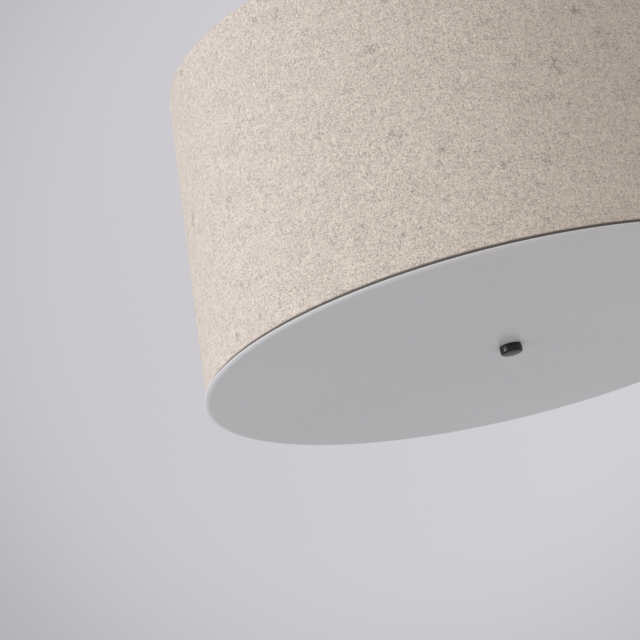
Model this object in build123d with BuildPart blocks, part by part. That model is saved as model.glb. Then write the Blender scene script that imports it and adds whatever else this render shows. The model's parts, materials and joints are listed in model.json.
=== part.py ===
from build123d import *
import os
from math import asin, atan2, cos, degrees, radians, sin, tan

os.makedirs("parts", exist_ok=True)

# Flush mount ceiling light: a tapered linen drum shade round three lamps, closed from below
# by an opal disc that one round knob holds on a threaded rod.
# Millimetres. +Z points up to the ceiling. The origin is the centre of the mounting bar's
# upper face, where it lies on the ceiling, so the whole light hangs below Z = 0.
# The room is seen from -Y: the shade's glued lap seam is at +Y.

# --- Driving dimensions: shade ---------------------------------------------------------
shade_bottom_radius = 200.0  # widest point of the lower hem
shade_top_radius = 183.5  # widest point of the upper hem
shade_height = 210.0
ceiling_gap = 6.0  # from the ceiling to the shade's upper edge
cloth_thickness = 0.7
liner_thickness = 0.5
ring_wire_radius = 1.25
glue_line = 0.05  # between the cloth and the liner
hem_slack = 0.2  # round the ring, inside the roll of cloth
seam_lap_width = 12.0
seam_angle = 90.0  # the lap is at the back

# --- Driving dimensions: shade spider --------------------------------------------------
arm_wire_radius = 1.5
arm_notch_clearance = 0.2
arm_shoulder_length = 16.0  # level run beside the ring
arm_toe_length = 22.0  # level run beside the hub
arm_weld_length = 8.0  # how far an arm lies over the hub plate
arm_bend_radius = 14.0
hub_radius = 22.0
hub_thickness = 2.5
hub_clearance = 0.3  # radial, round the rod
hub_headroom = 18.0  # from the lamp holders down to the nut over the hub

# --- Driving dimensions: opal disc and knob --------------------------------------------
disc_thickness = 2.8
disc_overhang = 2.2  # past the shade's lower hem
disc_seat_gap = 0.3  # between the hem and the disc's upper face
disc_seat_width = 4.0  # level face under the hem
disc_edge_fall = 1.1  # how far the upper face drops toward its edge
disc_edge_reach = 4.0  # width of the soft lower edge
disc_corner_radius = 0.4
disc_hole_clearance = 0.3
knob_radius = 7.35
knob_head_height = 4.9
knob_chamfer = 0.4
knob_neck_radius = 4.6
knob_neck_height = 5.0
knob_floor = 1.4  # metal left under the blind thread
knob_washer_radius = 6.9
knob_washer_thickness = 0.6

# --- Driving dimensions: canopy pan and mounting bar -----------------------------------
pan_depth = 25.0
pan_sheet = 1.0
pan_floor_radius = 76.0
pan_rim_radius = 84.0
pan_flange_width = 6.0
pan_bend_radius = 4.0
pan_hole_clearance = 0.4
bar_width = 20.0
bar_end_margin = 7.0  # from a stud's centre to the bar's end
bar_thickness = 2.0
bar_slot_spacing = 79.4  # centre to centre, for round ceiling boxes
bar_slot_length = 15.0
bar_slot_width = 5.0
bar_centre_hole_radius = 5.2
earth_screw_offset = 20.0
earth_tag_thickness = 0.8
earth_tag_radius = 4.4

# --- Driving dimensions: rod, screws and nuts ------------------------------------------
thread_clearance = 0.05  # radial, wherever a screw sits in its thread
rod_radius = 3.0
rod_top_margin = 3.0  # rod left above its upper nut
rod_end_gap = 0.5  # from the rod's end to the knob's blind floor
rod_chamfer = 0.5
rod_nut_flats = 10.0
rod_nut_height = 5.0
rod_washer_radius = 6.0
rod_washer_thickness = 1.2
stud_radius = 2.0
stud_spacing = 112.0
stud_nut_flats = 7.0
stud_nut_height = 3.2
stud_reach = 8.0  # stud left below the pan
cap_nut_radius = 5.0
cap_nut_height = 9.5
cap_nut_floor = 1.2
screw_radius = 1.5
screw_head_radius = 2.8
screw_head_height = 2.0
screw_end_gap = 0.2  # from a screw's tip to the end of its hole
earth_screw_radius = 2.0
earth_screw_head_radius = 3.8
rivet_radius = 1.6
rivet_head_radius = 3.0
rivet_head_height = 1.2

# --- Driving dimensions: lamp holders and bulbs ----------------------------------------
lamp_letters = "abc"
first_lamp_angle = 90.0
lamp_headroom = 7.0  # between the pan's floor and the bulbs
holder_reach = 29.0  # from the rod's axis to the back of a holder
holder_length = 40.0
holder_back_radius = 17.0
holder_mouth_radius = 20.0
holder_mouth_width = 12.0
holder_edge_radius = 1.2
bulb_cap_radius = 13.1
bulb_cap_length = 22.0
bulb_cap_taper = 3.0
bulb_tip_radius = 4.6
bulb_tip_length = 3.0
bulb_shoulder_gap = 1.0  # from the holder's mouth to the bulb's skirt
bulb_skirt_length = 34.0
bulb_skirt_neck = 14.2
bulb_neck_flare = 0.25  # how fast the skirt widens at its neck and at the globe
bulb_mouth_flare = 0.45
bulb_radius = 30.0
bulb_length = 78.0  # from the skirt's back to the crown
bulb_wall = 1.6
bulb_joint_gap = 0.1
socket_clearance = 0.35  # radial, between a bulb's cap and the holder's thread
shell_wall = 0.4
shell_length = 18.0
contact_rise = 3.2
contact_gap = 0.3
contact_width = 5.0
contact_sheet = 0.5
contact_foot = 8.0  # how far from the axis the strip's foot ends
contact_bend = 4.0  # from the axis to where the strip leaves the floor
contact_tongue = 2.0  # how far the strip runs past the axis
bracket_width = 16.0
bracket_sheet = 1.5
bracket_foot = 17.0
bracket_leg_margin = 4.0  # leg left below the lower screw
bracket_bend_radius = 1.0
holder_screw_offset = 7.5
holder_screw_depth = 8.0
rivet_offset = 5.0
rivet_pitch = 7.5

# --- Driving dimensions: wiring --------------------------------------------------------
lead_radius = 1.1
lead_slack = 0.2
lead_exit_offset = 11.0  # sideways from the holder's axis
lead_grip = 5.0  # length held inside the holder
lead_hole_depth = 7.0
grommet_slack = 0.5  # round the two leads in a grommet
grommet_reach = 15.0
grommet_neck_radius = 4.3
grommet_flange_radius = 6.0
grommet_flange_thickness = 1.2
block_length = 34.0
block_width = 16.0
block_height = 13.0
block_setback = 45.5  # from the rod's axis to the block's front face
block_pole_pitch = 11.5
block_floor = 2.7
block_edge_radius = 1.0
block_ear_length = 6.5
block_ear_thickness = 3.0
block_well_radius = 2.6
block_well_depth = 2.6
pocket_depth = 6.0
terminal_screw_height = 2.0
terminal_screw_gap = 0.2  # radial, in its well
lead_straight_run = 8.5  # behind the holder
lead_riser_depth = 8.0  # below the pan, where a lead starts to climb into its grommet
lead_turn_gap = 6.0  # in front of the block, where a lead turns into its pocket
lead_end_gap = 1.0  # from a lead's end to the end of its pocket
corner_share = 0.45  # of the shorter run beside a corner that its arc may take
earth_lead_start = 5.0  # out from the bar's middle line, over the tag
earth_lead_run = 10.0
earth_lead_drop = 4.0  # below its tag at the way point
earth_way_point = (9.0, 29.0)
# Routes of the lamps' leads over the pan's floor, chosen so that no two meet at one level: the
# row in the stack, the side of the holder that the live lead leaves from, and the way points
# (x, y) of the live and of the neutral lead.
lead_routes = {
    "a": (1, 1, [], []),
    "b": (2, -1, [(-16.0, 17.0)], [(-8.5, 13.0)]),
    "c": (0, -1, [(8.5, 21.0)], [(15.5, 17.0)]),
}

# --- Levels and radii worked out from them ---------------------------------------------
pan_floor_z = -pan_depth + pan_sheet
pan_under_z = -pan_depth
shade_top_z = -ceiling_gap
shade_bottom_z = shade_top_z - shade_height
lamp_axis_z = pan_under_z - lamp_headroom - bulb_radius
hub_top_z = lamp_axis_z - holder_mouth_radius - hub_headroom - rod_nut_height
hub_under_z = hub_top_z - hub_thickness
disc_top_z = shade_bottom_z - disc_seat_gap
disc_under_z = disc_top_z - disc_thickness
disc_radius = shade_bottom_radius + disc_overhang
knob_top_z = disc_under_z - knob_washer_thickness
knob_under_z = knob_top_z - knob_head_height
rod_bottom_z = knob_under_z + knob_floor + rod_end_gap
rod_top_z = pan_floor_z + rod_nut_height + rod_top_margin
rod_bore_radius = rod_radius + thread_clearance
stud_bore_radius = stud_radius + thread_clearance
screw_bore_radius = screw_radius + thread_clearance
rivet_bore_radius = rivet_radius + thread_clearance
bar_length = stud_spacing + 2 * bar_end_margin
tag_under_z = -bar_thickness - earth_tag_thickness
lamp_angles = [first_lamp_angle + 360.0 / len(lamp_letters) * turn for turn in range(len(lamp_letters))]
arm_angles = [angle - 180.0 / len(lamp_letters) for angle in lamp_angles]


def save(piece, name):
    """Name a finished piece and write it out."""
    piece.part.label = name
    export_step(piece.part, f"parts/{name}.step")


def upright_plane(angle, height=0.0):
    """The vertical plane through the rod's axis at an angle: x runs outward, y runs up."""
    outward = (cos(radians(angle)), sin(radians(angle)), 0.0)
    sideways = (outward[1], -outward[0], 0.0)
    return Plane(origin=(0.0, 0.0, height), x_dir=outward, z_dir=sideways)


def lamp_plane(angle):
    """The upright plane of one lamp, with its x axis on the lamp's own axis."""
    return upright_plane(angle, lamp_axis_z)


def lamp_axis(angle):
    """The axis that one lamp holder and its bulb are turned about."""
    return Axis((0.0, 0.0, lamp_axis_z), lamp_plane(angle).x_dir)


def dome_arc(foot, rise):
    """Half the outline of a shallow dome, as three points from its foot (r, h) to its crown."""
    radius, base = foot
    sphere = (radius**2 + rise**2) / (2 * abs(rise))
    half_way = asin(radius / sphere) / 2
    drop = sphere * (1 - cos(half_way)) * (1 if rise > 0 else -1)
    return (radius, base), (sphere * sin(half_way), base + rise - drop), (0, base + rise)


def hex_nut(seats, seat_z, height, flats, bore_radius):
    """Plain hexagon nuts standing on seat_z, one for each (x, y) seat, as separate solids."""
    with BuildPart() as nuts:
        with BuildSketch(Plane.XY.offset(seat_z)):
            with Locations(*seats):
                RegularPolygon(radius=flats / 2, side_count=6, major_radius=False)
                Circle(bore_radius, mode=Mode.SUBTRACT)
        extrude(amount=height)
    return nuts


def flat_ring(seat_z, thickness, outer_radius, inner_radius, seats=((0.0, 0.0),)):
    """Plain washers standing on seat_z."""
    with BuildPart() as rings:
        with BuildSketch(Plane.XY.offset(seat_z)):
            with Locations(*seats):
                Circle(outer_radius)
                Circle(inner_radius, mode=Mode.SUBTRACT)
        extrude(amount=thickness)
    return rings


# =======================================================================================
# Shade: a linen skin on a stiff liner, rolled over a wire ring at each edge
# =======================================================================================
# Across a hem lie the liner and the ring side by side, with the cloth turned round both.
hem_inner_radius = (glue_line + liner_thickness) / 2 + ring_wire_radius + hem_slack
hem_radius = hem_inner_radius + cloth_thickness
low_hem = Vector(shade_bottom_radius - hem_radius, shade_bottom_z + hem_radius)
high_hem = Vector(shade_top_radius - hem_radius, shade_top_z - hem_radius)
wall_run = high_hem - low_hem
wall_lean = atan2(-wall_run.X, wall_run.Y)
wall_length = wall_run.length
liner_inner_x = hem_inner_radius - glue_line - liner_thickness
tuck_x = liner_inner_x - glue_line
ring_x = hem_slack + ring_wire_radius - hem_inner_radius
roll_arc = 270.0


def wall_plane(angle):
    """A plane across the shade's wall: x points out through it, y climbs it from hem to hem."""
    upright = upright_plane(angle)
    outward = upright.x_dir * cos(wall_lean) + upright.y_dir * sin(wall_lean)
    return Plane(origin=upright.from_local_coords(low_hem), x_dir=outward, z_dir=upright.z_dir)


def hem_ring(height):
    """One wire ring of the shade, at a height up the wall."""
    with BuildPart() as ring:
        with BuildSketch(wall_plane(0)):
            with Locations((ring_x, height)):
                Circle(ring_wire_radius)
        revolve(axis=Axis.Z)
    return ring


ring_point = wall_plane(0).from_local_coords((ring_x, wall_length, 0))
top_ring_place = Vector(ring_point.X, ring_point.Z)

# Linen: the outer wall, and at both edges three quarters of a roll tucked behind the ring.
with BuildPart() as shade_fabric:
    with BuildSketch(wall_plane(0)):
        with BuildLine():
            Line((hem_radius, 0), (hem_radius, wall_length))
            CenterArc((0, wall_length), hem_radius, 0, roll_arc)
            Line((0, wall_length - hem_radius), (tuck_x, wall_length - hem_radius))
            Line((tuck_x, wall_length - hem_radius), (tuck_x, wall_length - hem_inner_radius))
            Line((tuck_x, wall_length - hem_inner_radius), (0, wall_length - hem_inner_radius))
            CenterArc((0, wall_length), hem_inner_radius, 0, roll_arc)
            Line((hem_inner_radius, wall_length), (hem_inner_radius, 0))
            CenterArc((0, 0), hem_inner_radius, 90, roll_arc)
            Line((0, hem_inner_radius), (tuck_x, hem_inner_radius))
            Line((tuck_x, hem_inner_radius), (tuck_x, hem_radius))
            Line((tuck_x, hem_radius), (0, hem_radius))
            CenterArc((0, 0), hem_radius, 90, roll_arc)
        make_face()
    revolve(axis=Axis.Z)
    # The glued lap at the back: one more thickness of cloth between the two hems.
    seam_turn = degrees(seam_lap_width / shade_bottom_radius)
    with BuildSketch(wall_plane(seam_angle - seam_turn / 2)):
        with Locations((hem_radius, wall_length / 2)):
            Rectangle(2 * cloth_thickness, wall_length)
    revolve(axis=Axis.Z, revolution_arc=-seam_turn)
    # The upper hem is notched where each spider arm leaves its ring.
    for angle in arm_angles:
        inward = -upright_plane(angle).x_dir
        arm_root = upright_plane(angle).from_local_coords(top_ring_place)
        with BuildSketch(Plane(origin=arm_root, z_dir=inward)):
            Circle(arm_wire_radius + arm_notch_clearance)
        extrude(amount=2 * hem_radius, mode=Mode.SUBTRACT)
save(shade_fabric, "shade_fabric")

# Liner: a stiff cone of sheet that ends at the rings.
with BuildPart() as shade_liner:
    with BuildSketch(wall_plane(0)):
        with Locations((liner_inner_x + liner_thickness / 2, wall_length / 2)):
            Rectangle(liner_thickness, wall_length)
    revolve(axis=Axis.Z)
save(shade_liner, "shade_liner")

bottom_ring = hem_ring(0)
save(bottom_ring, "bottom_ring")

# Spider: the upper ring, three arms that drop past the lamps, and the plate on the rod.
hub_middle_z = hub_top_z - hub_thickness / 2
arm_points = [
    top_ring_place,
    top_ring_place - Vector(arm_shoulder_length, 0),
    Vector(hub_radius + arm_toe_length, hub_middle_z),
    Vector(hub_radius - arm_weld_length, hub_middle_z),
]
with BuildPart() as shade_spider:
    add(hem_ring(wall_length).part)
    for angle in arm_angles:
        with BuildLine() as arm_route:
            arm_way = [upright_plane(angle).from_local_coords(point) for point in arm_points]
            FilletPolyline(*arm_way, radius=arm_bend_radius)
        with BuildSketch(Plane(origin=arm_route.line @ 0, z_dir=arm_route.line % 0)):
            Circle(arm_wire_radius)
        sweep(path=arm_route.line)
    with BuildSketch(Plane.XY.offset(hub_under_z)):
        Circle(hub_radius)
        Circle(rod_radius + hub_clearance, mode=Mode.SUBTRACT)
    extrude(amount=hub_thickness)
save(shade_spider, "shade_spider")

# The plate is clamped on the rod between a nut above it and a washer and nut below it.
spider_washer = flat_ring(
    hub_under_z - rod_washer_thickness, rod_washer_thickness, rod_washer_radius, rod_bore_radius
)
save(spider_washer, "spider_washer")
spider_nut = hex_nut(
    [(0, 0)],
    hub_under_z - rod_washer_thickness - rod_nut_height,
    rod_nut_height,
    rod_nut_flats,
    rod_bore_radius,
)
save(spider_nut, "spider_nut")

# =======================================================================================
# Opal disc, washer and knob
# =======================================================================================
disc_seat_radius = shade_bottom_radius - hem_radius + disc_seat_width / 2
disc_edge_top_z = disc_top_z - disc_edge_fall
disc_edge_height = disc_edge_top_z - disc_under_z
disc_hole_radius = knob_neck_radius + disc_hole_clearance

# Disc: level where the hem rests, falling toward the edge, with a soft elliptical underside.
with BuildPart() as diffuser:
    with BuildSketch(Plane.XZ) as disc_section:
        with BuildLine():
            Line((disc_hole_radius, disc_under_z), (disc_hole_radius, disc_top_z))
            Line((disc_hole_radius, disc_top_z), (disc_seat_radius, disc_top_z))
            Line((disc_seat_radius, disc_top_z), (disc_radius, disc_edge_top_z))
            EllipticalCenterArc(
                (disc_radius - disc_edge_reach, disc_edge_top_z),
                disc_edge_reach,
                disc_edge_height,
                0,
                arc_size=-90,
            )
            Line((disc_radius - disc_edge_reach, disc_under_z), (disc_hole_radius, disc_under_z))
        make_face()
        fillet(disc_section.vertices().sort_by(Axis.X)[-1], radius=disc_corner_radius)
    revolve(axis=Axis.Z)
save(diffuser, "diffuser")

finial_washer = flat_ring(
    knob_top_z, knob_washer_thickness, knob_washer_radius, disc_hole_radius
)
save(finial_washer, "finial_washer")

# Knob: a plain round head, and a neck through the disc that holds the blind thread.
with BuildPart() as finial_knob:
    with BuildSketch(Plane.XY.offset(knob_under_z)):
        Circle(knob_radius)
    extrude(amount=knob_head_height)
    chamfer(finial_knob.edges().filter_by(GeomType.CIRCLE), length=knob_chamfer)
    with BuildSketch(Plane.XY.offset(knob_top_z)):
        Circle(knob_neck_radius)
    extrude(amount=knob_neck_height)
    with BuildSketch(Plane.XY.offset(knob_under_z + knob_floor)):
        Circle(rod_bore_radius)
    extrude(amount=knob_head_height + knob_neck_height, mode=Mode.SUBTRACT)
save(finial_knob, "finial_knob")

# =======================================================================================
# Centre rod and its nuts
# =======================================================================================
with BuildPart() as centre_rod:
    with BuildSketch(Plane.XY.offset(rod_bottom_z)):
        Circle(rod_radius)
    extrude(amount=rod_top_z - rod_bottom_z)
    chamfer(centre_rod.edges().filter_by(GeomType.CIRCLE), length=rod_chamfer)
save(centre_rod, "centre_rod")

rod_top_nut = hex_nut([(0, 0)], pan_floor_z, rod_nut_height, rod_nut_flats, rod_bore_radius)
save(rod_top_nut, "rod_top_nut")
rod_lock_washer = flat_ring(
    pan_under_z - rod_washer_thickness, rod_washer_thickness, rod_washer_radius, rod_bore_radius
)
save(rod_lock_washer, "rod_lock_washer")
rod_lower_nut = hex_nut(
    [(0, 0)],
    pan_under_z - rod_washer_thickness - rod_nut_height,
    rod_nut_height,
    rod_nut_flats,
    rod_bore_radius,
)
save(rod_lower_nut, "rod_lower_nut")
spider_stop_nut = hex_nut([(0, 0)], hub_top_z, rod_nut_height, rod_nut_flats, rod_bore_radius)
save(spider_stop_nut, "spider_stop_nut")

# =======================================================================================
# Canopy pan and mounting bar
# =======================================================================================
stud_seats = [(-stud_spacing / 2, 0), (stud_spacing / 2, 0)]
grommet_seats = [upright_plane(angle).from_local_coords((grommet_reach, 0, 0)) for angle in lamp_angles]
rivet_reaches = [holder_reach + rivet_offset, holder_reach + rivet_offset + rivet_pitch]
rivet_seats = [
    upright_plane(angle).from_local_coords((reach, 0, 0))
    for angle in lamp_angles
    for reach in rivet_reaches
]
block_centre_y = block_setback + block_width / 2
block_screw_x = block_length / 2 + block_ear_length / 2
block_screw_seats = [(-block_screw_x, block_centre_y), (block_screw_x, block_centre_y)]

# Pan: pressed from one sheet, with a drafted wall and a flange that lies on the ceiling.
with BuildPart() as canopy_pan:
    with BuildSketch(Plane.XZ):
        with BuildLine():
            FilletPolyline(
                (0, pan_under_z),
                (pan_floor_radius, pan_under_z),
                (pan_rim_radius, -pan_sheet),
                (pan_rim_radius + pan_flange_width, -pan_sheet),
                radius=pan_bend_radius,
            )
            offset(amount=pan_sheet, side=Side.LEFT)
        make_face()
    revolve(axis=Axis.Z)
    with BuildSketch(Plane.XY.offset(pan_under_z)):
        Circle(rod_radius + pan_hole_clearance)
        with Locations(*stud_seats):
            Circle(stud_radius + pan_hole_clearance)
        with Locations(*grommet_seats):
            Circle(grommet_neck_radius + thread_clearance)
        with Locations(*rivet_seats):
            Circle(rivet_bore_radius)
        with Locations(*block_screw_seats):
            Circle(screw_bore_radius)
    extrude(amount=pan_sheet, mode=Mode.SUBTRACT)
save(canopy_pan, "canopy_pan")

# Mounting bar: a flat strip with two slots for the ceiling box's screws.
with BuildPart() as mounting_bar:
    with BuildSketch(Plane.XY.offset(-bar_thickness)):
        SlotOverall(bar_length, bar_width)
        Circle(bar_centre_hole_radius, mode=Mode.SUBTRACT)
        with Locations((-bar_slot_spacing / 2, 0), (bar_slot_spacing / 2, 0)):
            SlotOverall(bar_slot_length, bar_slot_width, mode=Mode.SUBTRACT)
        with Locations(*stud_seats):
            Circle(stud_bore_radius, mode=Mode.SUBTRACT)
        with Locations((earth_screw_offset, 0)):
            Circle(earth_screw_radius + thread_clearance, mode=Mode.SUBTRACT)
    extrude(amount=bar_thickness)
save(mounting_bar, "mounting_bar")

# Two studs hang from the bar, locked by a nut each, and carry the pan on two cap nuts.
with BuildPart() as mounting_studs:
    with BuildSketch(Plane.XY.offset(pan_under_z - stud_reach)):
        with Locations(*stud_seats):
            Circle(stud_radius)
    extrude(amount=pan_depth + stud_reach)
save(mounting_studs, "mounting_studs")
stud_nuts = hex_nut(
    stud_seats, -bar_thickness - stud_nut_height, stud_nut_height, stud_nut_flats, stud_bore_radius
)
save(stud_nuts, "stud_nuts")

# Cap nut: a skirt that meets the pan, closed by a dome under the stud's end.
cap_nut_end = cap_nut_floor - cap_nut_height
with BuildPart() as cap_nuts:
    for seat_x, seat_y in stud_seats:
        seat_plane = Plane(origin=(seat_x, seat_y, pan_under_z), x_dir=(1, 0, 0), z_dir=(0, -1, 0))
        with BuildSketch(seat_plane):
            with BuildLine():
                Line((stud_bore_radius, 0), (cap_nut_radius, 0))
                Line((cap_nut_radius, 0), (cap_nut_radius, cap_nut_radius - cap_nut_height))
                CenterArc((0, cap_nut_radius - cap_nut_height), cap_nut_radius, 0, -90)
                Line((0, -cap_nut_height), (0, cap_nut_end))
                Line((0, cap_nut_end), (stud_bore_radius, cap_nut_end))
                Line((stud_bore_radius, cap_nut_end), (stud_bore_radius, 0))
            make_face()
        revolve(axis=Axis((seat_x, seat_y, 0), (0, 0, 1)))
save(cap_nuts, "cap_nuts")

# =======================================================================================
# Lamp holders, their brackets and the bulbs, one set for each lamp
# =======================================================================================
holder_mouth = holder_reach + holder_length
bulb_shoulder = holder_mouth + bulb_shoulder_gap
tip_end = bulb_shoulder - bulb_cap_length - bulb_tip_length
holder_floor = tip_end - contact_gap - contact_rise
shell_inner_radius = bulb_cap_radius + socket_clearance
shell_outer_radius = shell_inner_radius + shell_wall
holder_bore_radius = shell_outer_radius + thread_clearance
shell_mouth = holder_mouth - holder_mouth_width / 2
globe_centre = bulb_shoulder + bulb_length - bulb_radius
skirt_end = bulb_shoulder + bulb_skirt_length
globe_inner_radius = bulb_radius - bulb_wall


def back_plane(angle, facing):
    """The plane of a holder's back: facing is 1 into the holder and -1 out of it."""
    plane = lamp_plane(angle)
    middle = plane.from_local_coords((holder_reach, 0, 0))
    return Plane(origin=middle, x_dir=plane.z_dir, z_dir=facing * plane.x_dir)


def circle_height(radius, centre, at):
    """Half the chord of a circle at a distance along its axis."""
    return (radius**2 - (at - centre) ** 2) ** 0.5


def make_holder(angle):
    """Moulded lamp holder: a stepped barrel with a blind bore, screw holes and lead holes."""
    with BuildPart() as holder:
        with BuildSketch(lamp_plane(angle)) as section:
            with BuildLine():
                Polyline(
                    (holder_reach, 0),
                    (holder_reach, holder_back_radius),
                    (holder_mouth - holder_mouth_width, holder_back_radius),
                    (holder_mouth - holder_mouth_width, holder_mouth_radius),
                    (holder_mouth, holder_mouth_radius),
                    (holder_mouth, holder_bore_radius),
                    (holder_floor, holder_bore_radius),
                    (holder_floor, 0),
                    close=True,
                )
            make_face()
            outer_corners = section.vertices().group_by(Axis.Z)[-1]
            fillet(outer_corners, radius=holder_edge_radius)
        revolve(axis=lamp_axis(angle))
        with BuildSketch(back_plane(angle, 1)):
            with Locations((0, holder_screw_offset), (0, -holder_screw_offset)):
                Circle(screw_bore_radius)
        extrude(amount=holder_screw_depth, mode=Mode.SUBTRACT)
        with BuildSketch(back_plane(angle, 1)):
            with Locations((lead_exit_offset, 0), (-lead_exit_offset, 0)):
                Circle(lead_radius + lead_slack)
        extrude(amount=lead_hole_depth, mode=Mode.SUBTRACT)
    return holder


def make_shell(angle):
    """Threaded metal sleeve inside the holder, as the plain tube that the thread is rolled in."""
    with BuildPart() as shell:
        with BuildSketch(lamp_plane(angle)):
            with Locations((shell_mouth - shell_length / 2, shell_inner_radius + shell_wall / 2)):
                Rectangle(shell_length, shell_wall)
        revolve(axis=lamp_axis(angle))
    return shell


def make_contact(angle):
    """Spring contact: a strip that lies on the bore's floor and rises to the bulb's tip."""
    rise = contact_rise - contact_sheet
    with BuildPart() as contact:
        with BuildSketch(lamp_plane(angle)):
            with BuildLine():
                Polyline(
                    (holder_floor, contact_foot),
                    (holder_floor, contact_bend),
                    (holder_floor + rise, 0),
                    (holder_floor + rise, -contact_tongue),
                )
                offset(amount=contact_sheet, side=Side.LEFT, kind=Kind.INTERSECTION)
            make_face()
        extrude(amount=contact_width / 2, both=True)
    return contact


def make_bracket(angle):
    """Bent steel bracket: a leg behind the holder and a foot riveted under the pan."""
    leg_x = holder_reach
    leg_end = -holder_screw_offset - bracket_leg_margin
    pan_y = pan_under_z - lamp_axis_z
    plane = lamp_plane(angle)
    with BuildPart() as bracket:
        with BuildSketch(plane):
            with BuildLine():
                FilletPolyline(
                    (leg_x, leg_end),
                    (leg_x, pan_y - bracket_sheet),
                    (leg_x + bracket_foot, pan_y - bracket_sheet),
                    radius=bracket_bend_radius,
                )
                offset(amount=bracket_sheet, side=Side.LEFT)
            make_face()
        extrude(amount=bracket_width / 2, both=True)
        with BuildSketch(Plane.XY.offset(pan_under_z - bracket_sheet)):
            with Locations(*[plane.from_local_coords((reach, 0, 0)) for reach in rivet_reaches]):
                Circle(rivet_bore_radius)
        extrude(amount=bracket_sheet, mode=Mode.SUBTRACT)
        with BuildSketch(back_plane(angle, -1)):
            with Locations((0, holder_screw_offset), (0, -holder_screw_offset)):
                Circle(screw_bore_radius)
        extrude(amount=bracket_sheet, mode=Mode.SUBTRACT)
    return bracket


def make_bulb_cap(angle):
    """Screw cap of the bulb, narrowing to the insulated tip."""
    with BuildPart() as cap:
        with BuildSketch(lamp_plane(angle)):
            with BuildLine():
                Polyline(
                    (bulb_shoulder, 0),
                    (bulb_shoulder, bulb_cap_radius),
                    (bulb_shoulder - bulb_cap_length + bulb_cap_taper, bulb_cap_radius),
                    (bulb_shoulder - bulb_cap_length, bulb_tip_radius + bulb_cap_taper),
                    (bulb_shoulder - bulb_cap_length, 0),
                    close=True,
                )
            make_face()
        revolve(axis=lamp_axis(angle))
    return cap


def make_bulb_tip(angle):
    """Solder contact in the middle of the cap's end."""
    base_x = tip_end + bulb_tip_length
    outline = dome_arc((bulb_tip_radius, 0), bulb_tip_length)
    dome = [(base_x - height, radius) for radius, height in outline]
    with BuildPart() as tip:
        with BuildSketch(lamp_plane(angle)):
            with BuildLine():
                Line(dome[-1], (base_x, 0))
                Line((base_x, 0), dome[0])
                ThreePointArc(*dome)
            make_face()
        revolve(axis=lamp_axis(angle))
    return tip


def make_bulb_skirt(angle):
    """Moulded bowl between the cap and the globe, flared in one sweep and open at its wide end."""
    wide = circle_height(bulb_radius, globe_centre, skirt_end)
    inner_back = bulb_shoulder + bulb_wall
    inner_neck = bulb_skirt_neck - bulb_wall
    with BuildPart() as skirt:
        with BuildSketch(lamp_plane(angle)):
            with BuildLine():
                Line((bulb_shoulder, 0), (bulb_shoulder, bulb_skirt_neck))
                Spline(
                    (bulb_shoulder, bulb_skirt_neck),
                    (skirt_end, wide),
                    tangents=((1, bulb_neck_flare), (1, bulb_mouth_flare)),
                )
                Line((skirt_end, wide), (skirt_end, wide - bulb_wall))
                Line((skirt_end, wide - bulb_wall), (inner_back, inner_neck))
                Line((inner_back, inner_neck), (inner_back, 0))
                Line((inner_back, 0), (bulb_shoulder, 0))
            make_face()
        revolve(axis=lamp_axis(angle))
    return skirt


def make_bulb_globe(angle):
    """Opal globe: most of a sphere, hollow, standing on the skirt's edge."""
    start = skirt_end + bulb_joint_gap
    outer = circle_height(bulb_radius, globe_centre, start)
    inner = circle_height(globe_inner_radius, globe_centre, start)
    crown = globe_centre + bulb_radius
    inner_crown = globe_centre + globe_inner_radius
    with BuildPart() as globe:
        with BuildSketch(lamp_plane(angle)):
            with BuildLine():
                Line((start, inner), (start, outer))
                ThreePointArc((start, outer), (globe_centre, bulb_radius), (crown, 0))
                Line((crown, 0), (inner_crown, 0))
                ThreePointArc((inner_crown, 0), (globe_centre, globe_inner_radius), (start, inner))
            make_face()
        revolve(axis=lamp_axis(angle))
    return globe


for letter, angle in zip(lamp_letters, lamp_angles):
    save(make_bracket(angle), f"holder_bracket_{letter}")
    save(make_holder(angle), f"lamp_holder_{letter}")
    save(make_shell(angle), f"holder_shell_{letter}")
    save(make_contact(angle), f"holder_contact_{letter}")
    save(make_bulb_cap(angle), f"bulb_cap_{letter}")
    save(make_bulb_tip(angle), f"bulb_tip_{letter}")
    save(make_bulb_skirt(angle), f"bulb_skirt_{letter}")
    save(make_bulb_globe(angle), f"bulb_globe_{letter}")

# Rivets through the pan and the brackets' feet, with a domed head on each side.
with BuildPart() as bracket_rivets:
    under_z = pan_under_z - bracket_sheet
    upper_head = dome_arc((rivet_head_radius, pan_floor_z), rivet_head_height)
    lower_head = dome_arc((rivet_head_radius, under_z), -rivet_head_height)
    for seat in rivet_seats:
        with BuildSketch(Plane(origin=(seat.X, seat.Y, 0), x_dir=(1, 0, 0), z_dir=(0, -1, 0))):
            with BuildLine():
                ThreePointArc(*upper_head)
                Line(upper_head[0], (rivet_radius, pan_floor_z))
                Line((rivet_radius, pan_floor_z), (rivet_radius, under_z))
                Line((rivet_radius, under_z), lower_head[0])
                ThreePointArc(*lower_head)
                Line(lower_head[-1], upper_head[-1])
            make_face()
        revolve(axis=Axis((seat.X, seat.Y, 0), (0, 0, 1)))
save(bracket_rivets, "bracket_rivets")

# Screws through each bracket's leg into the back of its holder.
with BuildPart() as holder_screws:
    for angle in lamp_angles:
        leg_back = back_plane(angle, -1).offset(bracket_sheet)
        for side in (-1, 1):
            centre = (0, side * holder_screw_offset)
            with BuildSketch(leg_back):
                with Locations(centre):
                    Circle(screw_head_radius)
            extrude(amount=screw_head_height)
            with BuildSketch(leg_back):
                with Locations(centre):
                    Circle(screw_radius)
            extrude(amount=-(bracket_sheet + holder_screw_depth - screw_end_gap))
save(holder_screws, "holder_screws")

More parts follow.
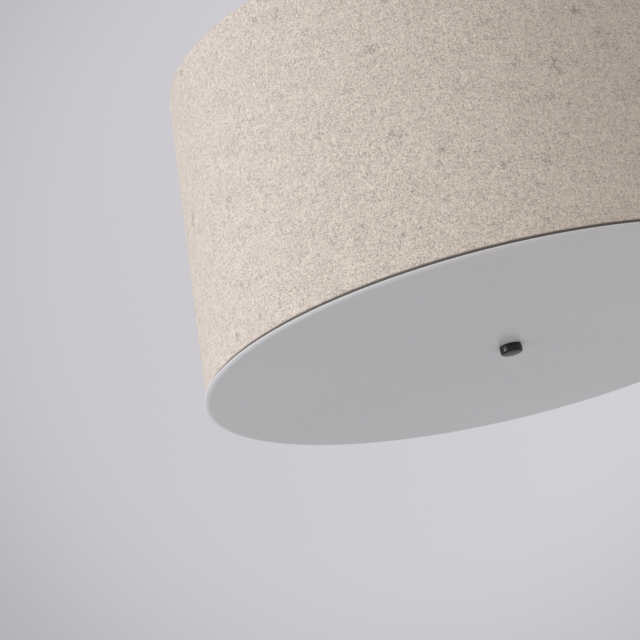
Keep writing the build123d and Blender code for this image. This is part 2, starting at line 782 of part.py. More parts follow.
# =======================================================================================
# Terminal block on the pan's floor
# =======================================================================================
pole_positions = [-block_pole_pitch, 0.0, block_pole_pitch]
lead_step = 2 * (lead_radius + lead_slack / 2)
pocket_floor_z = pan_floor_z + block_floor
pocket_height = len(lamp_letters) * lead_step + lead_slack
pocket_width = 2 * (lead_radius + lead_slack)
lowest_lead_z = pocket_floor_z + lead_slack + lead_radius
lead_levels = [lowest_lead_z + lead_step * row for row in range(len(lamp_letters))]
front_well_y = block_setback + pocket_depth / 2
back_well_y = block_setback + block_width - pocket_depth / 2
well_seats = [(x, y) for y in (front_well_y, back_well_y) for x in pole_positions]
well_floor_z = pan_floor_z + block_height - block_well_depth

# Block: an edge-rounded body on two eared feet, a pocket and a screw well for every pole.
with BuildPart() as terminal_block:
    with BuildSketch(Plane.XY.offset(pan_floor_z)):
        with Locations((0, block_centre_y)):
            Rectangle(block_length, block_width)
    extrude(amount=block_height)
    fillet(terminal_block.edges().filter_by(Axis.Z), radius=block_edge_radius)
    with BuildSketch(Plane.XY.offset(pan_floor_z)):
        with Locations((0, block_centre_y)):
            SlotOverall(block_length + 2 * block_ear_length, 2 * block_ear_length)
    extrude(amount=block_ear_thickness)
    with BuildSketch(Plane.XY.offset(pan_floor_z)):
        with Locations(*block_screw_seats):
            Circle(screw_bore_radius)
    extrude(amount=block_ear_thickness, mode=Mode.SUBTRACT)
    for face_y, inward in ((block_setback, 1), (block_setback + block_width, -1)):
        mouth = Plane(origin=(0, face_y, pocket_floor_z), x_dir=(1, 0, 0), z_dir=(0, inward, 0))
        with BuildSketch(mouth):
            with Locations(*[(x, -inward * pocket_height / 2) for x in pole_positions]):
                Rectangle(pocket_width, pocket_height)
        extrude(amount=pocket_depth, mode=Mode.SUBTRACT)
    with BuildSketch(Plane.XY.offset(well_floor_z)):
        with Locations(*well_seats):
            Circle(block_well_radius)
    extrude(amount=block_well_depth, mode=Mode.SUBTRACT)
save(terminal_block, "terminal_block")

with BuildPart() as terminal_screws:
    with BuildSketch(Plane.XY.offset(well_floor_z)):
        with Locations(*well_seats):
            Circle(block_well_radius - terminal_screw_gap)
    extrude(amount=terminal_screw_height)
save(terminal_screws, "terminal_screws")

with BuildPart() as block_screws:
    with BuildSketch(Plane.XY.offset(pan_floor_z + block_ear_thickness)):
        with Locations(*block_screw_seats):
            Circle(screw_head_radius)
    extrude(amount=screw_head_height)
    with BuildSketch(Plane.XY.offset(pan_under_z - screw_head_height)):
        with Locations(*block_screw_seats):
            Circle(screw_radius)
    extrude(amount=screw_head_height + pan_sheet + block_ear_thickness)
save(block_screws, "block_screws")

# Earth screw under the mounting bar.
with BuildPart() as earth_screw:
    with BuildSketch(Plane.XY.offset(tag_under_z - screw_head_height)):
        with Locations((earth_screw_offset, 0)):
            Circle(earth_screw_head_radius)
    extrude(amount=screw_head_height)
    with BuildSketch(Plane.XY.offset(tag_under_z)):
        with Locations((earth_screw_offset, 0)):
            Circle(earth_screw_radius)
    extrude(amount=earth_tag_thickness + bar_thickness)
save(earth_screw, "earth_screw")

# =======================================================================================
# Grommets and leads
# =======================================================================================
# Grommet: a neck through the pan between two flanges.
with BuildPart() as lead_grommets:
    for seat in grommet_seats:
        seat_plane = Plane(origin=(seat.X, seat.Y, pan_under_z), x_dir=(1, 0, 0), z_dir=(0, -1, 0))
        bore = lead_step + grommet_slack
        with BuildSketch(seat_plane):
            with BuildLine():
                Polyline(
                    (bore, -grommet_flange_thickness),
                    (grommet_flange_radius, -grommet_flange_thickness),
                    (grommet_flange_radius, 0),
                    (grommet_neck_radius, 0),
                    (grommet_neck_radius, pan_sheet),
                    (grommet_flange_radius, pan_sheet),
                    (grommet_flange_radius, pan_sheet + grommet_flange_thickness),
                    (bore, pan_sheet + grommet_flange_thickness),
                    close=True,
                )
            make_face()
        revolve(axis=Axis((seat.X, seat.Y, 0), (0, 0, 1)))
save(lead_grommets, "lead_grommets")


def corner_radii(points):
    """As large an arc at every corner of a route as its two runs allow."""
    radii = []
    for before, corner, after in zip(points, points[1:], points[2:]):
        arriving = Vector(corner) - Vector(before)
        leaving = Vector(after) - Vector(corner)
        half_turn = radians(arriving.get_angle(leaving)) / 2
        radii.append(corner_share * min(arriving.length, leaving.length) / tan(half_turn))
    return radii


# Each lead leaves its holder's back, climbs through the grommet and crosses to its pole.
# The three lamps' leads cross at three levels, and stack in the poles in the same order.
lead_end_y = block_setback + pocket_depth - lead_end_gap
lead_turn_y = block_setback - lead_turn_gap
live_x, earth_x, neutral_x = pole_positions
for letter, angle in zip(lamp_letters, lamp_angles):
    row, live_side, live_way, neutral_way = lead_routes[letter]
    level = lead_levels[row]
    plane = upright_plane(angle)
    grommet = plane.from_local_coords((grommet_reach, 0, 0))
    with BuildPart() as lead_pair:
        for pole_x, side, shift, way in (
            (live_x, live_side, -1, live_way),
            (neutral_x, -live_side, 1, neutral_way),
        ):
            aside = -side * lead_exit_offset
            riser_x = grommet.X + shift * lead_step / 2
            points = [
                plane.from_local_coords((holder_reach + lead_grip, lamp_axis_z, aside)),
                plane.from_local_coords((holder_reach - lead_straight_run, lamp_axis_z, aside)),
                Vector(riser_x, grommet.Y, pan_under_z - lead_riser_depth),
                Vector(riser_x, grommet.Y, level),
                *[Vector(x, y, level) for x, y in way],
                Vector(pole_x, lead_turn_y, level),
                Vector(pole_x, lead_end_y, level),
            ]
            radii = corner_radii(points)
            print(f"lead_pair_{letter}: tightest bend {min(radii):.1f} mm")
            with BuildLine() as route:
                FilletPolyline(*points, radius=radii)
            with BuildSketch(Plane(origin=route.line @ 0, z_dir=route.line % 0)):
                Circle(lead_radius)
            sweep(path=route.line)
    save(lead_pair, f"lead_pair_{letter}")

# Earth lead: a ring tag under the earth screw, and its lead down to the middle pole.
with BuildPart() as earth_lead:
    with BuildSketch(Plane.XY.offset(tag_under_z)):
        with Locations((earth_screw_offset, 0)):
            Circle(earth_tag_radius)
        with Locations((earth_screw_offset, earth_tag_radius)):
            Rectangle(2 * lead_radius, earth_tag_radius)
        with Locations((earth_screw_offset, 0)):
            Circle(earth_screw_radius + thread_clearance, mode=Mode.SUBTRACT)
    extrude(amount=earth_tag_thickness)
    wire_z = tag_under_z + earth_tag_thickness / 2 - lead_radius
    points = [
        Vector(earth_screw_offset, earth_lead_start, wire_z),
        Vector(earth_screw_offset, earth_lead_start + earth_lead_run, wire_z),
        Vector(*earth_way_point, wire_z - earth_lead_drop),
        Vector(earth_x, lead_turn_y, lead_levels[-1]),
        Vector(earth_x, lead_end_y, lead_levels[-1]),
    ]
    with BuildLine() as route:
        FilletPolyline(*points, radius=corner_radii(points))
    with BuildSketch(Plane(origin=route.line @ 0, z_dir=route.line % 0)):
        Circle(lead_radius)
    sweep(path=route.line)
save(earth_lead, "earth_lead")
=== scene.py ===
"""Dresses the flush mount ceiling light: cloth, finishes and fine detail round the fixed frame.

Metres, +Z up to the ceiling, the room seen from -Y and the shade's glued lap at +Y.
"""

import json
import logging
import math
from collections.abc import Callable, Iterable, Sequence
from dataclasses import dataclass, field
from enum import Enum

import bmesh
import bpy
from mathutils import Matrix, Vector

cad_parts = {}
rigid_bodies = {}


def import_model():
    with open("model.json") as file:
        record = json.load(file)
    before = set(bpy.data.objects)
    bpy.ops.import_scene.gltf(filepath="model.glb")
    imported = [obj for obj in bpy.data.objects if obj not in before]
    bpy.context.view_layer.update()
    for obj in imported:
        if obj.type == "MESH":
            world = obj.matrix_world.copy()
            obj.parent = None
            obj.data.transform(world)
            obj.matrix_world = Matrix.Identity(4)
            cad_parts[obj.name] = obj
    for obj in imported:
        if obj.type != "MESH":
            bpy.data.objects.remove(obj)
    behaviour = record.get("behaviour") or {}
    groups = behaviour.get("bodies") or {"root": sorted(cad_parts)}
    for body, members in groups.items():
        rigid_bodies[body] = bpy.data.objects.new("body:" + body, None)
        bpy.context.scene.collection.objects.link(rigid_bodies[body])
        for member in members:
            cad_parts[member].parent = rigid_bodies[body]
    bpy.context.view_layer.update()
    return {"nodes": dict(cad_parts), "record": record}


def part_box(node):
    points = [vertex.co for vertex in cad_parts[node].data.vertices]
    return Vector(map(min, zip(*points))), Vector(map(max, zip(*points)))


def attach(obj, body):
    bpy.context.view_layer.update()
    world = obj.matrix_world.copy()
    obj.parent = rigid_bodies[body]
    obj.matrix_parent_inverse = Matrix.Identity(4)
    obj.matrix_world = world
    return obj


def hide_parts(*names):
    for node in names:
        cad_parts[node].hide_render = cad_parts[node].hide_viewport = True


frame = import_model()
log = logging.getLogger("ceiling_light")

MM = 0.001
FULL_TURN = 2.0 * math.pi
UP = Vector((0.0, 0.0, 1.0))
LAMPS = {"a": 90.0, "b": 210.0, "c": 330.0}
ARM_ANGLES = (30.0, 150.0, 270.0)

Socket = bpy.types.NodeSocket
Point = tuple[float, float]
Seat = tuple[Vector, Vector, float]  # place, aim and turn of a fitting


class Slot(Enum):
    """The record's material slots, one for each finish."""

    LINEN = "linen"
    LINER = "liner_film"
    RING_WIRE = "ring_wire"
    OPAL_DISC = "opal_acrylic"
    RUBBER = "black_rubber"
    KNOB = "black_knob"
    ENAMEL = "white_enamel"
    ZINC = "zinc_steel"
    NICKEL = "nickel_brass"
    RIVET = "rivet_aluminium"
    EARTH_SCREW = "green_screw"
    EARTH_WIRE = "green_wire"
    LEAD = "lead_white"
    NYLON = "block_nylon"
    PORCELAIN = "holder_porcelain"
    BRASS = "shell_brass"
    BRONZE = "contact_bronze"
    BULB_CAP = "bulb_nickel"
    SOLDER = "bulb_solder"
    HOUSING = "bulb_housing"
    GLOBE = "bulb_opal"


# --- Nodes -----------------------------------------------------------------------------


def add_node(
    tree: bpy.types.NodeTree,
    kind: str,
    inputs: dict[int | str, object] | Sequence[object] = (),
    outlet: int | str = 0,
    **settings: object,
) -> Socket | None:
    """Add one node with its settings, and fill or link its inputs.

    Args:
        tree: The shader or geometry tree that the node goes into.
        kind: The node's type name.
        inputs: Values or output sockets, in the node's own order, or by input name or number.
        outlet: The output that is wanted, by its name or number.
        settings: Properties of the node itself.

    Returns:
        The wanted output, or nothing where the node has no outputs.
    """
    node = tree.nodes.new(kind)
    for name, value in settings.items():
        setattr(node, name, value)
    for key, value in inputs.items() if isinstance(inputs, dict) else enumerate(inputs):
        if isinstance(value, Socket):
            tree.links.new(value, node.inputs[key])
        else:
            node.inputs[key].default_value = value
    return node.outputs[outlet] if node.outputs else None


def new_material(title: str) -> bpy.types.Material:
    """Start a material whose tree is empty."""
    material = bpy.data.materials.new(title)
    material.use_nodes = True
    material.node_tree.nodes.clear()
    return material


def linear(code: str) -> tuple[float, float, float, float]:
    """Turn an sRGB hex colour such as #C8BFB2 into linear RGBA."""
    parts = [int(code[start : start + 2], 16) / 255 for start in (1, 3, 5)]
    straight = [part / 12.92 if part <= 0.04045 else ((part + 0.055) / 1.055) ** 2.4 for part in parts]
    return (*straight, 1.0)


# --- Finishes --------------------------------------------------------------------------

SPREAD = (0.35, 0.65)  # nearly all of a cloudy noise lies between these


@dataclass(frozen=True)
class Finish:
    """A finish whose marks lie in the piece's own space: a slow drift of colour and a grain.

    Attributes:
        title: The finish's plain name.
        colour: Main sRGB colour.
        drift: sRGB colour that it drifts to.
        drift_mm: Size of the drift's patches.
        grain_mm: Size of the surface grain.
        relief_mm: Height of the grain.
        roughness: Lowest and highest roughness.
        sockets: Values set straight on the shader's own sockets.
    """

    title: str
    colour: str
    drift: str
    drift_mm: float
    grain_mm: float
    relief_mm: float
    roughness: Point
    sockets: dict[str, object] = field(default_factory=dict)

    def build(self) -> bpy.types.Material:
        """Make the material.

        Returns:
            The finished material.
        """
        material = new_material(self.title)
        tree = material.node_tree
        place = add_node(tree, "ShaderNodeTexCoord", outlet="Object")
        per_drift, per_grain = 1.0 / (self.drift_mm * MM), 1.0 / (self.grain_mm * MM)
        patches = add_node(tree, "ShaderNodeTexNoise", {"Vector": place, "Scale": per_drift, "Detail": 3.0})
        grain = add_node(tree, "ShaderNodeTexNoise", {"Vector": place, "Scale": per_grain, "Detail": 4.0})
        drifted = add_node(tree, "ShaderNodeMapRange", (patches, *SPREAD))
        colours = {0: drifted, 6: linear(self.colour), 7: linear(self.drift)}
        both = add_node(tree, "ShaderNodeMath", (patches, grain), operation="ADD")
        worn = add_node(tree, "ShaderNodeMath", (both, 0.5), operation="MULTIPLY")
        relief = {"Height": grain, "Strength": 1.0, "Distance": self.relief_mm * MM}
        look = {
            "Base Color": add_node(tree, "ShaderNodeMix", colours, 2, data_type="RGBA"),
            "Roughness": add_node(tree, "ShaderNodeMapRange", (worn, *SPREAD, *self.roughness)),
            "Normal": add_node(tree, "ShaderNodeBump", relief),
        }
        shader = add_node(tree, "ShaderNodeBsdfPrincipled", {**look, **self.sockets})
        add_node(tree, "ShaderNodeOutputMaterial", {"Surface": shader})
        return material


@dataclass(frozen=True)
class LinenFinish:
    """Plain woven linen on the cloth's own map, in metres along the weft and along the warp.

    The yarns differ in thickness and colour, so the cloth looks like a fine uneven grain with
    short slubs along the weft and a few dark flecks of flax. Each share says how much one cause
    adds to the tone, which runs from the dark colour to the pale one over tone_range.
    """

    title: str = "woven natural linen"
    pale: str = "#F6E8DB"
    dark: str = "#BAAB9D"
    fleck: str = "#6A5E53"
    # Painted shade: the colour that the underside of the lower hem is drawn in, dark where shade falls in the
    # gap above the disc, and the band along the strip where it lies.
    painted_hem_shade: str = "#7F776F"
    painted_hem_shade_mm: tuple[float, float, float, float] = (5.0, 5.6, 8.1, 8.8)  # along the strip
    yarn_mm: float = 0.72  # real yarns are near 0.6 mm, drawn a little coarser so that they show
    relief_mm: float = 0.55
    segment_yarns: float = 4.5  # length of one shade along a yarn
    segment_seeds: Point = (11.0, 47.0)  # for the weft and for the warp
    segment_stagger: float = 7.0
    knot_mm: Point = (1.05, 0.75)
    knot_share: float = 1.2
    wander_mm: float = 0.55  # how far yarns stray sideways
    wander_size_mm: float = 7.0
    slub_mm: Point = (3.4, 0.8)  # length along the weft, and height
    slub_lift: float = 0.35  # height of the thinnest yarn
    weft_heights: Point = (0.30, 0.80)  # under the warp, and over it
    warp_heights: Point = (0.75, 0.25)  # over the weft, and under it
    crossing_height: float = 0.30
    fleck_mm: Point = (3.4, 0.55)
    fleck_gap_mm: float = 12.0
    fleck_range: Point = (0.413, 0.467)  # where a fleck begins, and where it is full
    fleck_strength: float = 0.6
    patch_mm: float = 16.0
    crossing_share: float = 1.15
    segment_share: float = 0.75
    patch_share: float = 0.22
    # The weave's hollows are drawn darker and its raised yarns paler: painted shade between the yarns.
    painted_hollow_shade_share: float = 0.40
    tone_range: Point = (-0.23, 0.70)

    def build(self) -> bpy.types.Material:
        """Make the material.

        Returns:
            The finished material.
        """
        material = new_material(self.title)
        tree = material.node_tree
        cloth = add_node(tree, "ShaderNodeUVMap", uv_map="cloth")
        strayed = self.stray(tree, cloth)
        per_yarn = 1.0 / (self.yarn_mm * MM)
        yarns = add_node(tree, "ShaderNodeVectorMath", {0: strayed, 3: per_yarn}, operation="SCALE")
        along, across, _ = add_node(tree, "ShaderNodeSeparateXYZ", (yarns,)).node.outputs
        crossing = self.cells(tree, yarns)
        lives = [self.streaks(tree, strayed, size, 2.0) for size in (self.slub_mm, self.slub_mm[::-1])]
        on_top = self.weft_on_top(tree, along, across)
        height = self.weave(tree, (along, across), lives, on_top, crossing)
        weft = self.segment(tree, along, across, self.segment_seeds[0])
        warp = self.segment(tree, across, along, self.segment_seeds[1])
        shown = add_node(tree, "ShaderNodeMix", {0: on_top, 2: warp, 3: weft}, data_type="FLOAT")
        per_patch, per_gap = 1.0 / (self.patch_mm * MM), 1.0 / (self.fleck_gap_mm * MM)
        patches = add_node(tree, "ShaderNodeTexNoise", {"Vector": cloth, "Scale": per_patch, "Detail": 2.0})

        causes = (
            (self.rare_extremes(tree, crossing), self.crossing_share),
            (self.rare_extremes(tree, shown), self.segment_share),
            (patches, self.patch_share),
            (height, self.painted_hollow_shade_share),
        )
        tone = 0.0
        for cause, share in causes:
            tone = add_node(tree, "ShaderNodeMath", (cause, share, tone), operation="MULTIPLY_ADD")
        paleness = add_node(tree, "ShaderNodeMapRange", (tone, *self.tone_range))
        rare = add_node(tree, "ShaderNodeTexNoise", {"Vector": cloth, "Scale": per_gap, "Detail": 1.0})
        dashes = [self.streaks(tree, strayed, size, 1.0) for size in (self.fleck_mm, self.fleck_mm[::-1])]
        dashes = [add_node(tree, "ShaderNodeMath", (dash, rare), operation="MULTIPLY") for dash in dashes]
        flecks = add_node(tree, "ShaderNodeMath", dashes, operation="MAXIMUM")
        seen = add_node(tree, "ShaderNodeMapRange", (flecks, *self.fleck_range, 0.0, self.fleck_strength))
        colour = linear(self.dark)
        # painted shade under the lower hem, in the gap above the disc
        hem_shade = self.painted_hem_shade_band(tree, cloth)
        for amount, over in ((paleness, self.pale), (seen, self.fleck), (hem_shade, self.painted_hem_shade)):
            layers = {0: amount, 6: colour, 7: linear(over)}
            colour = add_node(tree, "ShaderNodeMix", layers, 2, data_type="RGBA")

        knots = self.streaks(tree, strayed, self.knot_mm, 1.0)
        relief = add_node(tree, "ShaderNodeMath", (knots, self.knot_share, height), operation="MULTIPLY_ADD")
        bump = {"Height": relief, "Strength": 1.0, "Distance": self.relief_mm * MM}
        look = {
            "Base Color": colour,
            "Roughness": 0.95,
            "Diffuse Roughness": 0.6,
            "Specular IOR Level": 0.2,
            "Sheen Weight": 0.08,
            "Sheen Roughness": 0.5,
            "Normal": add_node(tree, "ShaderNodeBump", bump),
        }
        shader = add_node(tree, "ShaderNodeBsdfPrincipled", look)
        add_node(tree, "ShaderNodeOutputMaterial", {"Surface": shader})
        return material

    def stray(self, tree: bpy.types.NodeTree, cloth: Socket) -> Socket:
        """Push the cloth's map about, so that no yarn runs dead straight."""
        inputs = {"Vector": cloth, "Scale": 1.0 / (self.wander_size_mm * MM), "Detail": 3.0}
        cloud = add_node(tree, "ShaderNodeTexNoise", inputs, "Color")
        centred = add_node(tree, "ShaderNodeVectorMath", (cloud, (0.5, 0.5, 0.5)), operation="SUBTRACT")
        reach = 2.0 * self.wander_mm * MM
        push = add_node(tree, "ShaderNodeVectorMath", {0: centred, 3: reach}, operation="SCALE")
        return add_node(tree, "ShaderNodeVectorMath", (cloth, push), operation="ADD")

    def painted_hem_shade_band(self, tree: bpy.types.NodeTree, cloth: Socket) -> Socket:
        """Painted shade on the underside of the lower hem, where the gap above the disc is dark: a band along
        the strip.
        """
        _, along, _ = add_node(tree, "ShaderNodeSeparateXYZ", (cloth,)).node.outputs
        begin, full, fading, end = (value * MM for value in self.painted_hem_shade_mm)
        before = add_node(tree, "ShaderNodeMapRange", (along, begin, full))
        after = add_node(tree, "ShaderNodeMapRange", (along, fading, end, 1.0, 0.0))
        return add_node(tree, "ShaderNodeMath", (before, after), operation="MULTIPLY")

    @staticmethod
    def cells(tree: bpy.types.NodeTree, yarns: Socket) -> Socket:
        """A random value for every crossing of two yarns."""
        floor = add_node(tree, "ShaderNodeVectorMath", (yarns,), operation="FLOOR")
        return add_node(tree, "ShaderNodeTexWhiteNoise", {"Vector": floor}, "Value")

    @staticmethod
    def streaks(tree: bpy.types.NodeTree, cloth: Socket, size_mm: Point, detail: float) -> Socket:
        """Noise drawn out along the weft or the warp."""
        squeeze = (1.0 / (size_mm[0] * MM), 1.0 / (size_mm[1] * MM), 1.0)
        drawn = add_node(tree, "ShaderNodeMapping", {"Vector": cloth, "Scale": squeeze})
        return add_node(tree, "ShaderNodeTexNoise", {"Vector": drawn, "Scale": 1.0, "Detail": detail})

    def segment(self, tree: bpy.types.NodeTree, along: Socket, across: Socket, seed: float) -> Socket:
        """A random value for each length of one yarn, between two joins in its fibre.

        Args:
            tree: The shader tree.
            along: Distance along the yarn, in yarns.
            across: Distance across the yarns, in yarns.
            seed: Keeps weft and warp apart.

        Returns:
            The value, from 0 to 1.
        """
        yarn = add_node(tree, "ShaderNodeMath", (across,), operation="FLOOR")
        row = add_node(tree, "ShaderNodeCombineXYZ", (yarn, seed))
        start = add_node(tree, "ShaderNodeTexWhiteNoise", {"Vector": row}, "Value")
        stagger = add_node(tree, "ShaderNodeMath", (start, self.segment_stagger), operation="MULTIPLY")
        steps = (along, 1.0 / self.segment_yarns, stagger)
        shifted = add_node(tree, "ShaderNodeMath", steps, operation="MULTIPLY_ADD")
        piece = add_node(tree, "ShaderNodeMath", (shifted,), operation="FLOOR")
        place = add_node(tree, "ShaderNodeCombineXYZ", (piece, yarn, seed))
        return add_node(tree, "ShaderNodeTexWhiteNoise", {"Vector": place}, "Value")

    @staticmethod
    def rare_extremes(tree: bpy.types.NodeTree, value: Socket) -> Socket:
        """Turn an even spread from 0 to 1 into one from -0.5 to 0.5 that is mostly near 0."""
        centred = add_node(tree, "ShaderNodeMath", (value, 0.5), operation="SUBTRACT")
        size = add_node(tree, "ShaderNodeMath", (centred,), operation="ABSOLUTE")
        square = add_node(tree, "ShaderNodeMath", (size, 2.0), operation="POWER")
        wide = add_node(tree, "ShaderNodeMath", (centred, 4.0), operation="MULTIPLY")
        return add_node(tree, "ShaderNodeMath", (square, wide), operation="MULTIPLY")

    @staticmethod
    def weft_on_top(tree: bpy.types.NodeTree, along: Socket, across: Socket) -> Socket:
        """1 where the weft passes over the warp, and 0 where it passes under."""
        cells = [add_node(tree, "ShaderNodeMath", (place,), operation="FLOOR") for place in (along, across)]
        total = add_node(tree, "ShaderNodeMath", cells, operation="ADD")
        size = add_node(tree, "ShaderNodeMath", (total,), operation="ABSOLUTE")
        return add_node(tree, "ShaderNodeMath", (size, 2.0), operation="MODULO")

    def weave(
        self,
        tree: bpy.types.NodeTree,
        places: tuple[Socket, Socket],
        lives: Sequence[Socket],
        on_top: Socket,
        crossing: Socket,
    ) -> Socket:
        """Height of a plain weave: each yarn is a rounded ridge that goes over and under.

        Args:
            tree: The shader tree.
            places: Distance along the weft and along the warp, in yarns.
            lives: How thick the weft and the warp are here.
            on_top: 1 where the weft is on top.
            crossing: A random value for each crossing.

        Returns:
            The height, from about 0 to 1.
        """
        ridges = []
        for position, life, heights in zip(reversed(places), lives, (self.weft_heights, self.warp_heights)):
            part = add_node(tree, "ShaderNodeMath", (position,), operation="FRACT")
            angle = add_node(tree, "ShaderNodeMath", (part, math.pi), operation="MULTIPLY")
            wave = add_node(tree, "ShaderNodeMath", (angle,), operation="SINE")
            thickness = add_node(tree, "ShaderNodeMath", (life, self.slub_lift), operation="ADD")
            ridge = add_node(tree, "ShaderNodeMath", (wave, thickness), operation="MULTIPLY")
            share = add_node(tree, "ShaderNodeMapRange", (on_top, 0.0, 1.0, *heights))
            ridges.append(add_node(tree, "ShaderNodeMath", (ridge, share), operation="MULTIPLY"))
        over = add_node(tree, "ShaderNodeMath", ridges, operation="MAXIMUM")
        steps = (crossing, self.crossing_height, over)
        return add_node(tree, "ShaderNodeMath", steps, operation="MULTIPLY_ADD")


METAL: dict[str, object] = {"Metallic": 1.0}  # bare or plated, with the default IOR

FINISHES: dict[Slot, Finish | LinenFinish] = {
    Slot.LINEN: LinenFinish(),
    # Calendered styrene sheet: an even white film with a soft gloss and faint roller marks.
    Slot.LINER: Finish("calendered styrene film", "#EFEDE6", "#E9E6DD", 60, 2.5, 0.015, (0.38, 0.5)),
    # Powder coat on drawn wire: thick, slightly pebbled and softly glossy.
    Slot.RING_WIRE: Finish("powder-coated wire", "#E9E8E3", "#E2E0DA", 25, 0.9, 0.03, (0.3, 0.42)),
    # Cast acrylic with a satin face: milky, even, with light spread just under the surface.
    Slot.OPAL_DISC: Finish(
        "cast opal acrylic", "#DFDDDC", "#DDDBDA", 140, 0.5, 0.002, (0.24, 0.28),
        sockets={"IOR": 1.49, "Subsurface Weight": 0.12, "Subsurface Scale": 0.002},
    ),
    # Moulded nitrile rubber: nearly black and dull, with a dusty bloom.
    Slot.RUBBER: Finish("moulded rubber", "#1E1E1E", "#282827", 6, 0.4, 0.01, (0.65, 0.8)),
    # Turned brass under black satin enamel: deep black with clear, soft-edged highlights.
    Slot.KNOB: Finish(
        "black satin enamel", "#0E100F", "#141615", 4, 0.3, 0.002, (0.25, 0.30),
        sockets={"IOR": 1.45, "Specular IOR Level": 0.45},
    ),
    # Baked enamel on pressed sheet: bright white with a fine orange peel.
    Slot.ENAMEL: Finish("white baked enamel", "#EEEDE8", "#E8E7E1", 45, 1.6, 0.02, (0.22, 0.32)),
    # Bright zinc plate: cool silver with cloudy dull patches and drawn marks.
    Slot.ZINC: Finish("zinc-plated steel", "#B9BBBE", "#A3A6AA", 9, 0.35, 0.006, (0.26, 0.44), sockets=METAL),
    # Nickel on brass: warm, clear and bright.
    Slot.NICKEL: Finish("nickel-plated brass", "#C9C4B8", "#BDB7A9", 7, 0.5, 0.002, (0.1, 0.2), sockets=METAL),
    # Headed aluminium: pale and softly dull from the setting tool.
    Slot.RIVET: Finish("headed aluminium", "#C4C5C7", "#B2B3B6", 3, 0.3, 0.005, (0.34, 0.5), sockets=METAL),
    # Zinc plate dyed green: metal that shines through a green lacquer.
    Slot.EARTH_SCREW: Finish(
        "green-dyed zinc plate", "#2E7A46", "#24663A", 3, 0.3, 0.004, (0.28, 0.42), sockets={"Metallic": 0.7}
    ),
    # Extruded PVC over copper: even green with a waxy gloss.
    Slot.EARTH_WIRE: Finish("green PVC insulation", "#2C7F42", "#25733A", 12, 0.6, 0.006, (0.36, 0.48)),
    # Extruded PVC over copper: ivory white with a waxy gloss.
    Slot.LEAD: Finish("ivory PVC insulation", "#E4E1D6", "#DCD8CA", 12, 0.6, 0.006, (0.36, 0.48)),
    # Moulded natural nylon: slightly yellow and waxy, with light carried inside.
    Slot.NYLON: Finish(
        "moulded natural nylon", "#E6E0CE", "#DDD6C1", 14, 0.8, 0.01, (0.42, 0.55),
        sockets={"Subsurface Weight": 0.15, "Subsurface Scale": 0.0015},
    ),
    # Glazed porcelain: warm white under a clear hard glaze with faint waves.
    Slot.PORCELAIN: Finish(
        "glazed porcelain", "#EBE7DC", "#E3DED0", 18, 4.0, 0.03, (0.1, 0.18),
        sockets={"Coat Weight": 0.6, "Coat Roughness": 0.04},
    ),
    # Rolled brass sheet: yellow, with fine rolling lines and dull patches.
    Slot.BRASS: Finish("rolled brass sheet", "#C9A253", "#B88F42", 6, 0.25, 0.004, (0.2, 0.36), sockets=METAL),
    # Spring bronze strip: redder than brass and drawn along its length.
    Slot.BRONZE: Finish("spring bronze strip", "#B98555", "#A87346", 5, 0.3, 0.004, (0.24, 0.4), sockets=METAL),
    # Nickel-plated cap: bright thin sheet that handling has dulled a little.
    Slot.BULB_CAP: Finish("nickel-plated cap", "#C6C5C2", "#B4B3B0", 6, 0.4, 0.003, (0.16, 0.3), sockets=METAL),
    # Tin solder: dull grey with a cooled, dimpled skin.
    Slot.SOLDER: Finish("tin solder", "#9C9C9D", "#858688", 2, 0.5, 0.03, (0.38, 0.55), sockets=METAL),
    # Moulded heat-conducting plastic: flat white with a fine spark-eroded grain.
    Slot.HOUSING: Finish("moulded lamp housing", "#ECEBE8", "#E6E5E1", 30, 0.5, 0.012, (0.44, 0.56)),
    # Opal polycarbonate: milky white, satin outside, with light carried inside.
    Slot.GLOBE: Finish(
        "opal polycarbonate", "#F1F0EC", "#ECEBE6", 40, 0.5, 0.003, (0.3, 0.38),
        sockets={"Subsurface Weight": 0.3, "Subsurface Scale": 0.003},
    ),
}

# Vitrified glass between a bulb's cap and its tip: black and glossy.
INSULATOR = Finish("black vitrified glass", "#17171A", "#1F1F22", 4, 0.8, 0.006, (0.12, 0.2))


# --- Meshes ----------------------------------------------------------------------------

SAME_POINT = 0.5e-6  # points nearer than this are merged


def slot_of(node: str) -> Slot:
    """The material slot that the record gives a CAD node."""
    return next(Slot(part["material_slot"]) for part in frame["record"]["subparts"] if part["node"] == node)


def body_of(node: str) -> str:
    """The body that a CAD node rides on."""
    return next(body for body, nodes in frame["record"]["behaviour"]["bodies"].items() if node in nodes)


def lamp_height(letter: str) -> float:
    """Height of a lamp's axis, which is the middle of its globe."""
    low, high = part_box(f"bulb_globe_{letter}")
    return (low.z + high.z) / 2


class Workshop:
    """Holds the finished materials, and turns meshes into pieces that stand for CAD nodes."""

    def __init__(self) -> None:
        """Make every finish once."""
        self.materials = {slot: finish.build() for slot, finish in FINISHES.items()}
        self.insulator = INSULATOR.build()

    def keep(self, *nodes: str) -> None:
        """Give CAD nodes whose shape is right their own finish."""
        for node in nodes:
            slots = frame["nodes"][node].data.materials
            slots.clear()
            slots.append(self.materials[slot_of(node)])

    def add(
        self,
        name: str,
        mesh: bpy.types.Mesh,
        node: str,
        replace: bool = True,
        material: bpy.types.Material | None = None,
    ) -> bpy.types.Object:
        """Make a piece of a finished mesh that rides where a CAD node rides.

        Args:
            name: The piece's name.
            mesh: Its mesh, in place.
            node: The CAD node that it stands for, or sits on.
            replace: Whether it hides that node.
            material: Its material, where it isn't the node's own.

        Returns:
            The piece.
        """
        piece = add_object(name, mesh)
        mesh.materials.clear()
        mesh.materials.append(material or self.materials[slot_of(node)])
        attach(piece, body_of(node))
        if replace:
            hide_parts(node)
        log.info("%s: %d faces on %s", name, len(mesh.polygons), body_of(node))
        return piece


